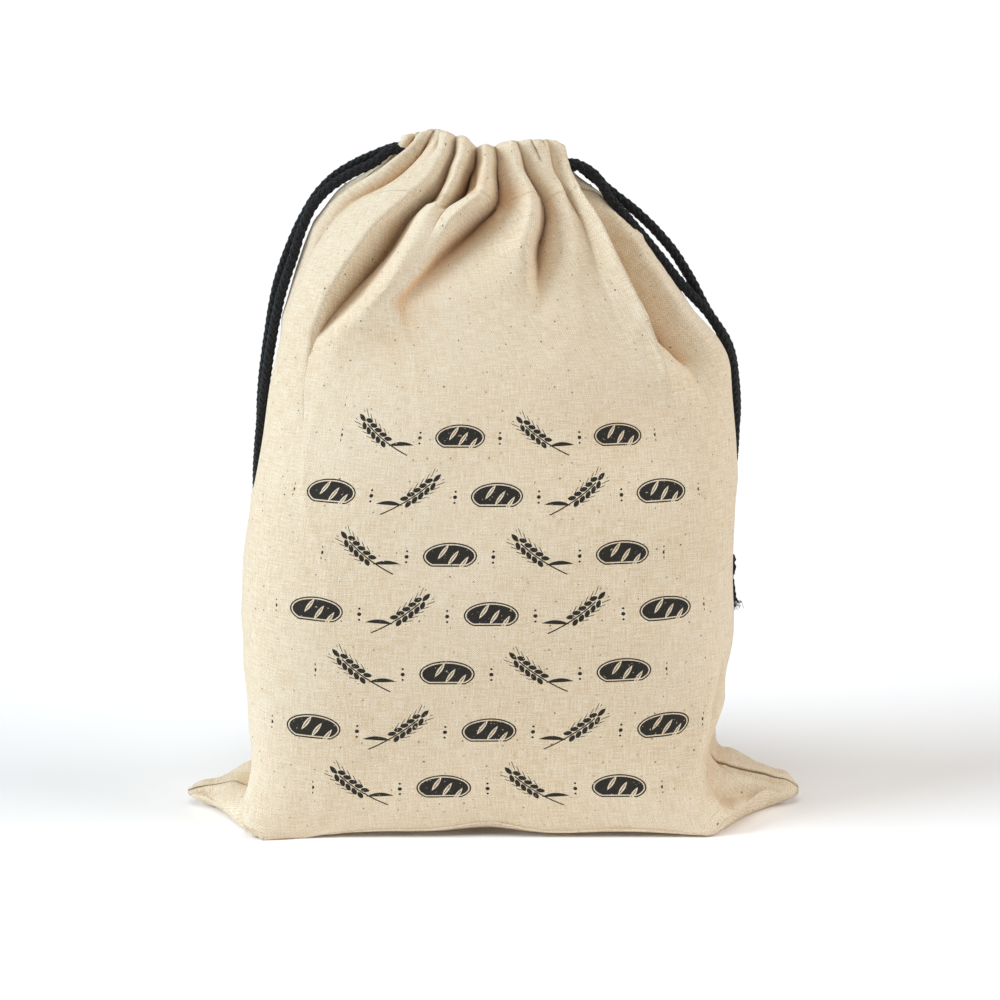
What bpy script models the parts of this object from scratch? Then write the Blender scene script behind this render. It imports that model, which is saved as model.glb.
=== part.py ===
"""A drawstring bread bag of unbleached cotton, standing filled on a table.

The bag is one cut length of cloth, folded at the bottom and sewn up both sides. Standing filled, its
bottom opens into a flat base and its two lower corners stick out sideways as ears. Its mouth is
gathered by two cords, which leave the casing at the sides in pairs and end in a knot.

A place on the cloth has two coordinates, as on the flat bag: across, the distance round the girth
from the middle of the front, positive to the right, and up, the height above the bottom fold. The
side seams lie at across = -HALF_WIDTH and +HALF_WIDTH. Metres, +Z up, the front faces -Y.
"""

from collections import namedtuple

import bmesh
import bpy
import numpy as np
from mathutils import Vector
from mathutils.bvhtree import BVHTree

MM = 0.001

# Driving sizes
FLAT_WIDTH = 0.300
FLAT_HEIGHT = 0.400
HALF_WIDTH = FLAT_WIDTH / 2
GIRTH = 2 * FLAT_WIDTH
CLOTH_THICKNESS = 1.5 * MM
CORD_DIAMETER = 5.0 * MM
KNOT_RADIUS = 7.0 * MM
KNOT_RIDGE = 0.10
KNOT_WRAPS = 3
KNOT_SQUASH = 0.86

COLUMNS_ROUND = 96
ROW_HEIGHTS = [
    5.5, 11, 16.5, 22, 28, 34, 40, 48, 62, 86, 116, 148, 180, 210,
    237, 259, 277, 293, 307, 320, 332, 343, 353, 363, 373, 383, 392, 400,
]

BASE_UP = 40 * MM

CLOTH_COLOUR = (0.78, 0.68, 0.55, 1.0)
CORD_COLOUR = (0.012, 0.012, 0.013, 1.0)

# The bag's outline at heights up the cloth, all in millimetres but the squareness. z_front and z_side
# are the heights of the outline at the panels' middles and at the seams. square is the exponent of a
# superellipse: 2 is an ellipse and 8 nearly a rectangle.
Section = namedtuple("Section", "up z_front z_side half_width centre front back square")
SECTIONS = [
    Section(5.5, 0.0, 5.0, 149.5, -3.3, 6.4, 6.4, 6.0),
    Section(22, 0.0, 8.5, 132.5, -3.5, 26.3, 25.3, 14.0),
    Section(40, 0.0, 14.0, 115.0, -2.5, 50.5, 45.0, 22.0),
    Section(50, 9.0, 21.0, 113.5, -5.0, 51.0, 47.0, 13.0),
    Section(80, 38.0, 47.0, 115.5, -6.0, 52.0, 50.0, 5.5),
    Section(120, 77.0, 83.0, 119.0, -4.0, 55.0, 54.0, 3.8),
    Section(160, 115.0, 118.0, 118.0, -4.0, 57.0, 56.0, 3.2),
    Section(200, 152.0, 153.0, 115.2, -2.5, 56.0, 55.0, 2.9),
    Section(240, 188.0, 188.0, 111.2, -0.2, 52.0, 51.0, 2.6),
    Section(280, 222.0, 222.0, 105.5, 0.5, 46.0, 45.0, 2.4),
    Section(310, 247.0, 247.0, 93.5, -6.0, 40.0, 39.0, 2.3),
    Section(335, 267.0, 268.0, 82.5, -10.5, 34.0, 33.0, 2.2),
    Section(355, 284.0, 284.0, 73.0, -13.5, 28.0, 27.0, 2.1),
    Section(372, 298.0, 298.0, 60.0, -15.5, 22.0, 21.0, 2.1),
    Section(386, 309.5, 309.5, 43.5, -11.5, 16.5, 16.0, 2.2),
    Section(393, 315.5, 317.0, 37.5, -8.5, 14.5, 14.0, 2.3),
    Section(400, 321.0, 324.0, 36.5, -8.0, 13.0, 13.0, 2.4),
]

# The folds that run down from the mouth. Crests and troughs follow each other round the girth, from the
# left seam over the front to the right side. A stop is a place on one of them and how far the cloth
# stands out there, negative in a trough. Below its last stop a fold fades out.
Stop = namedtuple("Stop", "up across out")
FRONT_FOLDS = {
    "left end trough": [
        Stop(400, -152, -1), Stop(385, -166, -3), Stop(350, -173, -3), Stop(298, -179, 0),
    ],
    "left end crest": [
        Stop(400, -137, 1.5), Stop(385, -156, 4), Stop(350, -165, 3), Stop(298, -170, 0.5),
    ],
    "tab trough": [
        Stop(400, -116, -1.5), Stop(385, -142, -3), Stop(350, -157, -3), Stop(298, -162, -0.5),
    ],
    "tab crest": [
        Stop(400, -97, 2), Stop(388, -124, 3), Stop(372, -141, 2), Stop(345, -149, 1),
        Stop(298, -152, 0.5),
    ],
    "left shoulder trough": [
        Stop(400, -70, -2), Stop(388, -103, -5), Stop(374, -126, -6), Stop(357, -139, -6),
        Stop(335, -141, -3), Stop(298, -142, -1),
    ],
    "left shoulder ridge": [
        Stop(400, -46, 2.5), Stop(388, -79, 5), Stop(377, -87, 7), Stop(363, -101, 9),
        Stop(345, -117, 9.5), Stop(326, -124, 8), Stop(298, -128, 3),
    ],
    "long left trough": [
        Stop(400, -33, -3.5), Stop(388, -41, -6), Stop(378, -46, -9), Stop(368, -55, -11),
        Stop(357, -64, -13), Stop(339, -78, -14), Stop(317, -95, -12), Stop(297, -107, -8),
        Stop(275, -111, -3),
    ],
    "pillow ridge": [
        Stop(400, -20, 3.5), Stop(384, -20, 4), Stop(372, -29, 4.5), Stop(361, -43, 6),
        Stop(348, -54, 7), Stop(317, -80, 5.5), Stop(295, -93, 3.5), Stop(268, -90, 1),
    ],
    "slit": [
        Stop(400, -3, -3.5), Stop(386, 3, -6), Stop(371, 2, -7), Stop(362, -12, -5.5),
        Stop(350, -34, -1.5), Stop(335, -52, 2), Stop(300, -66, 1),
    ],
    "crossing ridge": [
        Stop(400, 15, 3.5), Stop(388, 23, 5), Stop(379, 28, 6.5), Stop(370, 20, 8),
        Stop(361, 0, 8.5), Stop(350, -20, 8), Stop(338, -37, 5.5), Stop(320, -54, 2),
    ],
    "middle trough": [
        Stop(400, 32, -2.5), Stop(386, 44, -7), Stop(374, 43, -11), Stop(362, 26, -13),
        Stop(352, 2, -13.5), Stop(343, -16, -12), Stop(331, -32, -8), Stop(312, -39, -2.5),
    ],
    "flap ridge": [
        Stop(400, 50, 2.5), Stop(388, 62, 4.5), Stop(376, 76, 6.5), Stop(364, 62, 7.5),
        Stop(350, 43, 7.5), Stop(334, 30, 5.5), Stop(314, 20, 2.5),
    ],
    "right trough": [
        Stop(400, 80, -3.5), Stop(388, 92, -6), Stop(374, 89, -10), Stop(361, 73, -13),
        Stop(347, 57, -13.5), Stop(334, 43, -10.5), Stop(319, 34, -6), Stop(298, 30, -2),
    ],
    "fan ridge": [
        Stop(400, 100, 2), Stop(388, 113, 3.5), Stop(370, 107, 4), Stop(350, 92, 4),
        Stop(318, 74, 1.5),
    ],
    "right hollow": [
        Stop(400, 118, -2), Stop(388, 127, -1.5), Stop(372, 121, 1), Stop(350, 106, 3.5),
        Stop(320, 91, 3.5), Stop(285, 86, 1),
    ],
    "right front edge": [
        Stop(400, 134, 3), Stop(386, 139, 4), Stop(372, 136, 6.5), Stop(360, 127, 8),
        Stop(345, 116, 9), Stop(328, 108, 9), Stop(308, 102, 8), Stop(287, 98, 5.5),
        Stop(262, 101, 2.5),
    ],
    "right side trough": [
        Stop(400, 150, -2), Stop(384, 152, -5), Stop(372, 149, -7.5), Stop(360, 139, -10),
        Stop(343, 128, -13), Stop(322, 121, -14), Stop(303, 117, -12), Stop(285, 115, -8),
        Stop(262, 118, -3),
    ],
}

# The folds of the back, from the right side round to the left, crest and trough in turn. A fold is
# straight: its place at the mouth and at its foot, how far it stands out at its strongest, and its foot.
BackFold = namedtuple("BackFold", "across_top across_foot out foot")
BACK_FOLDS = [
    BackFold(168, 152, 3, 280), BackFold(189, 176, -11, 265), BackFold(208, 202, 6, 260),
    BackFold(226, 220, -4, 290), BackFold(243, 237, 4, 290), BackFold(262, 256, -12, 285),
    BackFold(281, 273, 6, 280), BackFold(300, 298, -4, 310), BackFold(318, 322, 3, 290),
    BackFold(334, 349, -11, 285), BackFold(350, 366, 5, 290), BackFold(370, 374, -4, 310),
    BackFold(388, 390, 6, 265), BackFold(405, 402, -11, 260), BackFold(424, 413, 4, 285),
]
MOUTH_OUT = 3.0
BACK_STRONGEST_UP = 348
FADE = 25
EVEN_UP = 60
SIDEWAYS_SHARE = 0.5

# Where the bag stands, so that the middle of its box is on the origin
BAG_SHIFT = np.array([3.3, 0.6, 0.0]) * MM

# Broad dents and bulges: place, reach, how far the cloth moves outwards and how far it is lifted
Swell = namedtuple("Swell", "across up reach_across reach_up outwards lift")
SWELLS = {
    "front bottom edge, middle": Swell(-4, 42, 20, 14, -2.5, 4.0),
    "front bottom edge, left": Swell(-38, 42, 32, 14, -1.0, 2.5),
    "front bottom edge, right": Swell(50, 42, 46, 14, -0.5, 2.0),
    "right corner crease": Swell(124, 64, 17, 15, -12.0, 0.0),
    "right corner lobe": Swell(113, 43, 12, 9, 5.0, 0.0),
    "right lower side": Swell(150, 66, 24, 20, -7.0, 0.0),
    "left ear back": Swell(-172, 34, 12, 12, 1.0, 6.0),
    "right ear back": Swell(172, 34, 12, 12, 1.0, 5.0),
    "front belly": Swell(-30, 150, 90, 70, 2.5, 0.0),
    "front upper right": Swell(62, 250, 34, 34, -4.0, 0.0),
    "front upper left": Swell(-66, 245, 40, 45, 3.0, 0.0),
    "back bottom edge": Swell(286, 40, 60, 22, -5.0, 3.0),
    "back belly": Swell(-262, 130, 70, 60, 2.5, 0.0),
    "back upper": Swell(235, 230, 50, 45, -3.0, 0.0),
    "right ear hollow": Swell(137, 28, 9, 12, -1.0, 0.0),
    "left ear hollow": Swell(-141, 16, 8, 9, -2.0, 0.0),
}

# The two ears at the base: where the ear starts and ends along X, how far its tip swings back and
# lifts, and how far its front edge turns up, in degrees
Ear = namedtuple("Ear", "root tip swing lift turn_up")
EARS = [
    Ear(-112, -152, 7.0, 0.3, 12.0),
    Ear(106, 146, 8.0, 1.5, 36.0),
]
EAR_TOP_UP = 60 * MM
EAR_BEND = 3 * MM
FREE_HEIGHT = 6 * MM
FLOOR_SINK = 1.2 * MM

# The cords' routes, from the casing down to the knot: Y and Z of each stop in millimetres and the gap
# between cord and cloth. The place along X follows from the gap. At the first stop, where the cord comes
# out of the casing, the gap is measured from the middle of its end, as a cord's radius less.
CordStop = namedtuple("CordStop", "y z gap")
CORD_ROUTES = {
    "cord_left_front": [
        CordStop(-3.0, 320, 0.2), CordStop(-3.2, 314, 2.0), CordStop(-3.5, 306.5, 2.2),
        CordStop(-3.8, 297, 2.0), CordStop(-4, 285, 1.8), CordStop(-3.4, 270, 1.6),
        CordStop(-1, 252, 1.2), CordStop(3, 230, 1.0), CordStop(8, 206, 0.8), CordStop(13, 184, 0.8),
        CordStop(21, 163, 0.8), CordStop(29, 143, 1.2), CordStop(36, 129, 3.2),
    ],
    "cord_left_back": [
        CordStop(3.4, 320.5, 0.2), CordStop(3.5, 315, 2.2), CordStop(4, 308, 3.0),
        CordStop(4.6, 299, 3.6), CordStop(5, 287, 4.2), CordStop(5.6, 272, 4.8),
        CordStop(7.5, 254, 5.2), CordStop(11, 231, 5.0), CordStop(15.5, 207, 4.2),
        CordStop(20.5, 185, 3.2), CordStop(29, 163, 2.0), CordStop(36.5, 144, 2.4),
        CordStop(42, 129, 6.0),
    ],
    "cord_right_front": [
        CordStop(-2.8, 312.5, 0.3), CordStop(-2.8, 307, 2.2), CordStop(-2.6, 298, 2.0),
        CordStop(-2.2, 286, 2.2), CordStop(-1.4, 272, 1.4), CordStop(0, 257, 0.9),
        CordStop(3, 240, 0.8), CordStop(7, 222, 0.8), CordStop(11, 204, 0.8),
        CordStop(16, 184, 0.8), CordStop(22.5, 163, 0.8), CordStop(30.5, 143, 1.2),
        CordStop(38, 125, 3.0),
    ],
    "cord_right_back": [
        CordStop(3.4, 313, 0.3), CordStop(3.6, 307.5, 2.8), CordStop(4.2, 299, 3.0),
        CordStop(5, 288, 4.0), CordStop(6, 274, 4.6), CordStop(8, 259, 4.4),
        CordStop(10.5, 243, 4.0), CordStop(13.5, 226, 4.6), CordStop(17.5, 208, 5.4),
        CordStop(23, 187, 4.6), CordStop(30.5, 165, 3.2), CordStop(38, 144, 3.6),
        CordStop(44, 126, 7.0),
    ],
}
CORD_POINT_SPACING = 12 * MM
WIDEST = 0.17
SEARCH_STEP = 0.1 * MM

# The knots: Y and Z of the middle, its gap to the cloth, and its two tails' tips as seen from its middle
Knot = namedtuple("Knot", "y z gap front_tail back_tail")
KNOTS = {
    "left": Knot(41.5, 112, 1.3, (-1.5, -3, -17), (-0.5, 5, -15.5)),
    "right": Knot(43, 108.5, 1.3, (2, -4, -17), (1, 4.5, -15)),
}
STRAND_ABOVE_KNOT = 7.4
STRAND_BESIDE_KNOT = 2.9


def smooth_between(stations, values, place):
    """A smooth curve through the values at the stations, without overshoot, read at a place."""
    steps = np.diff(stations)
    slopes = np.diff(values) / steps
    tangents = np.zeros(len(values))
    tangents[0] = slopes[0]
    tangents[-1] = slopes[-1]
    for i in range(1, len(values) - 1):
        if slopes[i - 1] * slopes[i] > 0:
            before = 2 * steps[i] + steps[i - 1]
            after = steps[i] + 2 * steps[i - 1]
            tangents[i] = (before + after) / (before / slopes[i - 1] + after / slopes[i])
    place = np.clip(place, stations[0], stations[-1])
    i = np.clip(np.searchsorted(stations, place, side="right") - 1, 0, len(steps) - 1)
    t = (place - stations[i]) / steps[i]
    start = (1 + 2 * t) * (1 - t) ** 2 * values[i] + t * (1 - t) ** 2 * steps[i] * tangents[i]
    end = t * t * (3 - 2 * t) * values[i + 1] + t * t * (t - 1) * steps[i] * tangents[i + 1]
    return start + end


def section_value(name, up):
    """One column of the section table, in metres, at a height up the cloth."""
    unit = 1.0 if name == "square" else MM
    heights = np.array([row.up for row in SECTIONS]) * MM
    values = np.array([getattr(row, name) for row in SECTIONS]) * unit
    return smooth_between(heights, values, up)


def quarter_outline(up, depth_name):
    """Points and running length of one quarter of the outline, from the seam to the panel's middle."""
    turn = np.linspace(0.0, np.pi / 2, 97)
    square = section_value("square", up)
    radius = (np.cos(turn) ** square + np.sin(turn) ** square) ** (-1 / square)
    x = section_value("half_width", up) * radius * np.cos(turn)
    y = section_value(depth_name, up) * radius * np.sin(turn)
    length = np.concatenate([[0.0], np.cumsum(np.hypot(np.diff(x), np.diff(y)))])
    return x, y, length


def wrap(across):
    """The same place on the girth, between minus and plus half of it."""
    return (across + GIRTH / 2) % GIRTH - GIRTH / 2


def plain_ring(across, up):
    """The bag's shape without its folds: one ring of the cloth, at one height up it."""
    across = wrap(across)
    on_front = np.abs(across) <= HALF_WIDTH
    share = np.abs(np.abs(across) - HALF_WIDTH) / HALF_WIDTH
    points = np.zeros((len(across), 3))
    for on_panel, depth_name, facing in ((on_front, "front", -1), (~on_front, "back", 1)):
        x, y, length = quarter_outline(up, depth_name)
        along = share[on_panel] * length[-1]
        side = np.where(across[on_panel] < 0, -1, 1)
        depth = np.interp(along, length, y)
        rise = 1 - (depth / y[-1]) ** 2
        low = section_value("z_front", up)
        high = section_value("z_side", up)
        points[on_panel, 0] = section_value("centre", up) + side * np.interp(along, length, x)
        points[on_panel, 1] = facing * depth
        points[on_panel, 2] = low + (high - low) * rise
    return points


def outward(across, up):
    """Unit normals of the unfolded bag, pointing outwards."""
    step = 0.5 * MM
    low = max(up - step, SECTIONS[0].up * MM)
    high = min(up + step, FLAT_HEIGHT)
    round_bag = plain_ring(across + step, up) - plain_ring(across - step, up)
    up_bag = plain_ring(across, high) - plain_ring(across, low)
    normals = np.cross(round_bag, up_bag)
    normals[:, 0] *= SIDEWAYS_SHARE
    return normals / np.linalg.norm(normals, axis=1, keepdims=True)


def fold_stops():
    """Every fold's stops from its foot to the mouth, in order round the girth."""
    folds = list(FRONT_FOLDS.values())
    for fold in BACK_FOLDS:
        mouth_out = MOUTH_OUT if fold.out > 0 else -MOUTH_OUT
        middle = (fold.across_top + fold.across_foot) / 2
        folds.append([
            Stop(400, fold.across_top, mouth_out), Stop(BACK_STRONGEST_UP, middle, fold.out),
            Stop(fold.foot, fold.across_foot, fold.out / 4),
        ])
    even_step = GIRTH / MM / len(folds)
    lines = []
    for k, stops in enumerate(folds):
        even = Stop(EVEN_UP, -HALF_WIDTH / MM + k * even_step, 0.0)
        foot = stops[-1]
        nearer_even = (foot.up - FADE) / foot.up
        gone = Stop(foot.up - FADE, even.across + (foot.across - even.across) * nearer_even, 0.0)
        lines.append([even, gone] + stops[::-1])
    return lines


def fold_places(up):
    """Where the folds are at one height and how far they stand out, with the first one again at the end."""
    folds = fold_stops()
    places = []
    for stops in folds:
        ups = np.array([stop.up for stop in stops]) * MM
        places.append([
            smooth_between(ups, np.array([getattr(stop, name) for stop in stops]) * MM, up)
            for name in ("across", "out")
        ])
    places.append([places[0][0] + GIRTH, places[0][1]])
    return np.array(places).T


def columns_at(up):
    """The places of the sheet's columns, which follow the folds."""
    across, _ = fold_places(up)
    column = np.arange(COLUMNS_ROUND) / COLUMNS_ROUND * (len(across) - 1)
    return np.interp(column, np.arange(len(across)), across)


def fold_relief(across, up):
    """How far the folds stand in and out at one height."""
    places, out = fold_places(up)
    place = (across - places[0]) % GIRTH + places[0]
    left = np.clip(np.searchsorted(places, place, side="right") - 1, 0, len(places) - 2)
    share = (place - places[left]) / (places[left + 1] - places[left])
    blend = 0.5 - 0.5 * np.cos(np.pi * share)
    return out[left] + (out[left + 1] - out[left]) * blend


def swell_amount(swell, across, up):
    """A soft round patch, 1 in its middle and 0 far from it."""
    sideways = wrap(across - swell.across * MM) / (swell.reach_across * MM)
    upwards = (up - swell.up * MM) / (swell.reach_up * MM)
    return np.exp(-(sideways ** 2) - upwards ** 2)


def swing_ears(points, up):
    """Swing and lift the two ears at the base and turn up their front edges."""
    near_base = np.clip(1 - (up - BASE_UP) / EAR_TOP_UP, 0, 1)
    for ear in EARS:
        share = (points[:, 0] / MM - ear.root) / (ear.tip - ear.root)
        share = np.clip(share, 0, 1.2) * near_base
        angle = np.radians(ear.turn_up) * share ** 2
        to_front = (np.sqrt(points[:, 1] ** 2 + EAR_BEND ** 2) - points[:, 1]) / 2
        points[:, 1] += to_front * (1 - np.cos(angle)) + ear.swing * MM * share
        points[:, 2] += to_front * np.sin(angle) + ear.lift * MM * share ** 2
    return points


def bag_ring(across, up):
    """One ring of the middle of the cloth with all its folds, half a thickness above the table."""
    points = plain_ring(across, up)
    relief = fold_relief(across, up)
    for swell in SWELLS.values():
        amount = swell_amount(swell, across, up)
        relief += swell.outwards * MM * amount
        points[:, 2] += swell.lift * MM * amount
    free_of_floor = np.clip(points[:, 2] / FREE_HEIGHT, min(up / BASE_UP, 1) ** 8, 1)
    points += outward(across, up) * (relief * free_of_floor)[:, None]
    points = swing_ears(points, up)
    points[:, 2] = np.maximum(points[:, 2] - FLOOR_SINK, 0) + CLOTH_THICKNESS / 2
    return points + BAG_SHIFT


def new_material(name, colour, roughness):
    material = bpy.data.materials.new(name)
    material.use_nodes = True
    shader = material.node_tree.nodes["Principled BSDF"]
    shader.inputs["Base Color"].default_value = colour
    shader.inputs["Roughness"].default_value = roughness
    shader.inputs["Metallic"].default_value = 0.0
    material.diffuse_color = colour
    return material


def mesh_object(name, mesh, material):
    piece = bpy.data.objects.new(name, mesh)
    bpy.context.scene.collection.objects.link(piece)
    mesh.materials.append(material)
    mesh.shade_smooth()
    return piece


def bag(material):
    """The cloth as a sheet, closed along the bottom fold and open at the mouth, then thickened."""
    heights = np.array(ROW_HEIGHTS) * MM
    sheet = bmesh.new()
    rings = [
        [sheet.verts.new(Vector(point)) for point in bag_ring(columns_at(up), up)] for up in heights
    ]
    for up, lower, upper in zip(heights, rings, rings[1:]):
        for i in range(COLUMNS_ROUND):
            j = (i + 1) % COLUMNS_ROUND
            join_quad(sheet, (lower[i], lower[j], upper[j], upper[i]), up, i)
    close_bottom(sheet, rings[0])
    bmesh.ops.recalc_face_normals(sheet, faces=sheet.faces)
    mesh = bpy.data.meshes.new("bag")
    sheet.to_mesh(mesh)
    sheet.free()
    piece = mesh_object("bag", mesh, material)
    wall = piece.modifiers.new("cloth thickness", "SOLIDIFY")
    wall.thickness = CLOTH_THICKNESS
    wall.offset = 0.0
    wall.use_even_offset = False
    return piece


def join_quad(sheet, corners, up, i):
    """One face of the sheet, on the base cut in two along the ears' slanting edges."""
    a, b, c, d = corners
    if up >= BASE_UP:
        sheet.faces.new(corners)
    elif (i // (COLUMNS_ROUND // 4)) % 2 == 0:
        sheet.faces.new((a, b, c))
        sheet.faces.new((a, c, d))
    else:
        sheet.faces.new((a, b, d))
        sheet.faces.new((b, c, d))


def close_bottom(sheet, ring):
    """Join the front and back of the lowest ring across the bottom fold."""
    half = COLUMNS_ROUND // 2
    for i in range(half):
        near = (ring[i], ring[i + 1])
        far = (ring[-i - 1 if i + 1 < half else half], ring[-i])
        corners = [near[1], near[0], far[1], far[0]]
        sheet.faces.new(list(dict.fromkeys(corners)))


def beside_cloth(cloth, side, y, z, distance):
    """The outermost point at this y and z that is as near to the cloth as the distance."""
    for x in np.arange(WIDEST, 0, -SEARCH_STEP):
        point = Vector((side * x, y * MM, z * MM))
        if cloth.find_nearest(point)[3] <= distance:
            return point
    raise ValueError(f"no cloth beside y {y}, z {z}")


def cord_route(cloth, name, knot_middle):
    """A cord's stops from the casing to its knot."""
    side = -1 if "left" in name else 1
    stops = [
        beside_cloth(cloth, side, stop.y, stop.z, CORD_DIAMETER / 2 + stop.gap * MM)
        for stop in CORD_ROUTES[name]
    ]
    beside = -STRAND_BESIDE_KNOT if "front" in name else STRAND_BESIDE_KNOT
    stops.append(knot_middle + Vector((0, beside, STRAND_ABOVE_KNOT)) * MM)
    return stops


def smooth_route(route):
    """Evenly spaced points on a smooth curve through the route's own points."""
    stops = np.array(route)
    padded = np.vstack([2 * stops[0] - stops[1], stops, 2 * stops[-1] - stops[-2]])
    fine = []
    for before, start, end, after in zip(padded, padded[1:], padded[2:], padded[3:]):
        for t in np.linspace(0, 1, 20, endpoint=False):
            fine.append(0.5 * (
                2 * start + (end - before) * t
                + (2 * before - 5 * start + 4 * end - after) * t ** 2
                + (3 * start - before - 3 * end + after) * t ** 3
            ))
    fine = np.array(fine + [stops[-1]])
    length = np.concatenate([[0.0], np.cumsum(np.linalg.norm(np.diff(fine, axis=0), axis=1))])
    places = np.linspace(0, length[-1], round(length[-1] / CORD_POINT_SPACING) + 1)
    return np.column_stack([np.interp(places, length, fine[:, axis]) for axis in range(3)])


def tube(name, route, radius, material):
    curve = bpy.data.curves.new(name, "CURVE")
    curve.dimensions = "3D"
    curve.bevel_depth = radius
    curve.bevel_resolution = 3
    curve.resolution_u = 1
    curve.render_resolution_u = 0
    curve.use_fill_caps = True
    points = smooth_route(route)
    spline = curve.splines.new("POLY")
    spline.points.add(len(points) - 1)
    for spline_point, place in zip(spline.points, points):
        spline_point.co = (*place, 1.0)
    curve.materials.append(material)
    piece = bpy.data.objects.new(name, curve)
    bpy.context.scene.collection.objects.link(piece)
    return piece


def knot(name, shape, middle, material):
    """Two strands tied together in one knot: a lump with the wraps' ridges, and its two short tails."""
    lump = bmesh.new()
    bmesh.ops.create_icosphere(lump, subdivisions=3, radius=1.0)
    for vertex in lump.verts:
        around = np.arctan2(vertex.co.y, vertex.co.x)
        ridge = 1 + KNOT_RIDGE * np.cos(2 * around + KNOT_WRAPS * np.pi * vertex.co.z)
        vertex.co *= KNOT_RADIUS * ridge
        vertex.co.z *= KNOT_SQUASH
        vertex.co += middle
    mesh = bpy.data.meshes.new(name)
    lump.to_mesh(mesh)
    lump.free()
    piece = mesh_object(name, mesh, material)
    for tail_name in ("front_tail", "back_tail"):
        tip = middle + Vector(getattr(shape, tail_name)) * MM
        tail = tapered_tail(f"{name}_{tail_name}", middle, tip)
        joint = piece.modifiers.new(tail_name, "BOOLEAN")
        joint.operation = "UNION"
        joint.solver = "EXACT"
        joint.object = tail
    return piece


def tapered_tail(name, start, tip):
    """A short frayed end, wider at its tip than at the knot."""
    run = tip - start
    mesh = bpy.data.meshes.new(name)
    cone = bmesh.new()
    bmesh.ops.create_cone(
        cone, cap_ends=True, segments=10, radius1=CORD_DIAMETER / 2, radius2=0.7 * CORD_DIAMETER,
        depth=run.length,
    )
    turn = run.to_track_quat("Z", "Y")
    for vertex in cone.verts:
        vertex.co = turn @ vertex.co + (start + tip) / 2
    cone.to_mesh(mesh)
    cone.free()
    guide = bpy.data.objects.new(name, mesh)
    bpy.context.scene.collection.objects.link(guide)
    guide.hide_render = True
    guide.display_type = "WIRE"
    return guide


def main():
    for old in list(bpy.data.objects):
        bpy.data.objects.remove(old, do_unlink=True)
    cloth_piece = bag(new_material("unbleached cotton", CLOTH_COLOUR, 0.9))
    cloth = BVHTree.FromObject(cloth_piece, bpy.context.evaluated_depsgraph_get())
    for side_name, side in (("left", -1), ("right", 1)):
        shape = KNOTS[side_name]
        middle = beside_cloth(cloth, side, shape.y, shape.z, KNOT_RADIUS + shape.gap * MM)
        knot_name = f"knot_{side_name}"
        knot(knot_name, shape, middle, new_material(knot_name, CORD_COLOUR, 0.85))
        for strand in ("front", "back"):
            name = f"cord_{side_name}_{strand}"
            route = cord_route(cloth, name, middle)
            tube(name, route, CORD_DIAMETER / 2, new_material(name, CORD_COLOUR, 0.85))


main()
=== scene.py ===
# %% [markdown]
# # A drawstring bread bag of unbleached cotton
#
# The real bag is one length of plain-woven cotton, 30 cm wide and 40 cm high when it lies flat. It is
# folded at the bottom, sewn up both sides and hemmed at the mouth, and the hem is a casing for two
# braided cords. Filled and standing, its bottom opens into a flat base, the two lower corners stick out
# as ears, and the drawn mouth sends folds down over the shoulders.
#
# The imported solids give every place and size. This notebook makes the pieces that are looked at, in
# the same frame: metres, +Z up, the front facing -Y.

from collections import namedtuple

import bmesh
import bpy
import numpy as np
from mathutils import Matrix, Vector, noise
from mathutils.bvhtree import BVHTree
from mathutils.kdtree import KDTree


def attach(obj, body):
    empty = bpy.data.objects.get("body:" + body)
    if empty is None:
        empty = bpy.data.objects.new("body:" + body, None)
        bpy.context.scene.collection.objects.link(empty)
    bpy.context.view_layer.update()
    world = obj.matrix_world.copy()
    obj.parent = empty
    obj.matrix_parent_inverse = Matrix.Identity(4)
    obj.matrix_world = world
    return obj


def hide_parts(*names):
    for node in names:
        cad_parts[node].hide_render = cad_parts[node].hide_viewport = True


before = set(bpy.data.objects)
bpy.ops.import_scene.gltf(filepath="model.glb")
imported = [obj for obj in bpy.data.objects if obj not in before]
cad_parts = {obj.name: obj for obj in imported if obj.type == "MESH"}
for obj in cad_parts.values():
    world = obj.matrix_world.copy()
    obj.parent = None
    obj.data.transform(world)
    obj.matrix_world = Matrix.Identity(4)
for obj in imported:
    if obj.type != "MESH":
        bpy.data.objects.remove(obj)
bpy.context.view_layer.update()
MM = 0.001
print("solids:", sorted(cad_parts))

# %% [markdown]
# ## Camera
#
# The photograph was taken with a long lens from a little above the table. A long lens keeps the
# bag's sides upright, so the camera stands 1.2 m away and looks down 14 degrees.

# %% Camera
CAMERA_TARGET = Vector((0.0033, 0.0006, 0.1526))
CAMERA_DISTANCE = 1.2
CAMERA_ELEVATION = np.radians(14.0)
CAMERA_LENS = 90.288

camera_data = bpy.data.cameras.new("camera")
camera_data.sensor_width = 36.0
camera_data.lens = CAMERA_LENS
camera_data.clip_end = 50.0
camera = bpy.data.objects.new("camera", camera_data)
bpy.context.scene.collection.objects.link(camera)
back_from_target = Vector((0, -np.cos(CAMERA_ELEVATION), np.sin(CAMERA_ELEVATION)))
camera.location = CAMERA_TARGET + CAMERA_DISTANCE * back_from_target
camera.rotation_euler = (-back_from_target).to_track_quat("-Z", "Y").to_euler()
bpy.context.scene.camera = camera
print("camera at", [round(c, 4) for c in camera.location])

# %% [markdown]
# ## Floor and light
#
# The floor is a wide pale plane that throws light back on the cloth, and an even world fills the
# shadows, as the white walls of a small studio do. Two wide soft lights stand at the sides, a strong
# cool one on the left and a weaker one on the right. They graze the front, so its middle is a little
# darker than its sides, and every fold shades. A third one hangs overhead. Sun lamps with a wide angle
# do this evenly over the floor as well.

# %% Floor
FLOOR_HALF = 15.0
FLOOR_COLOUR = (0.99, 0.95, 0.91, 1.0)

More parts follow.
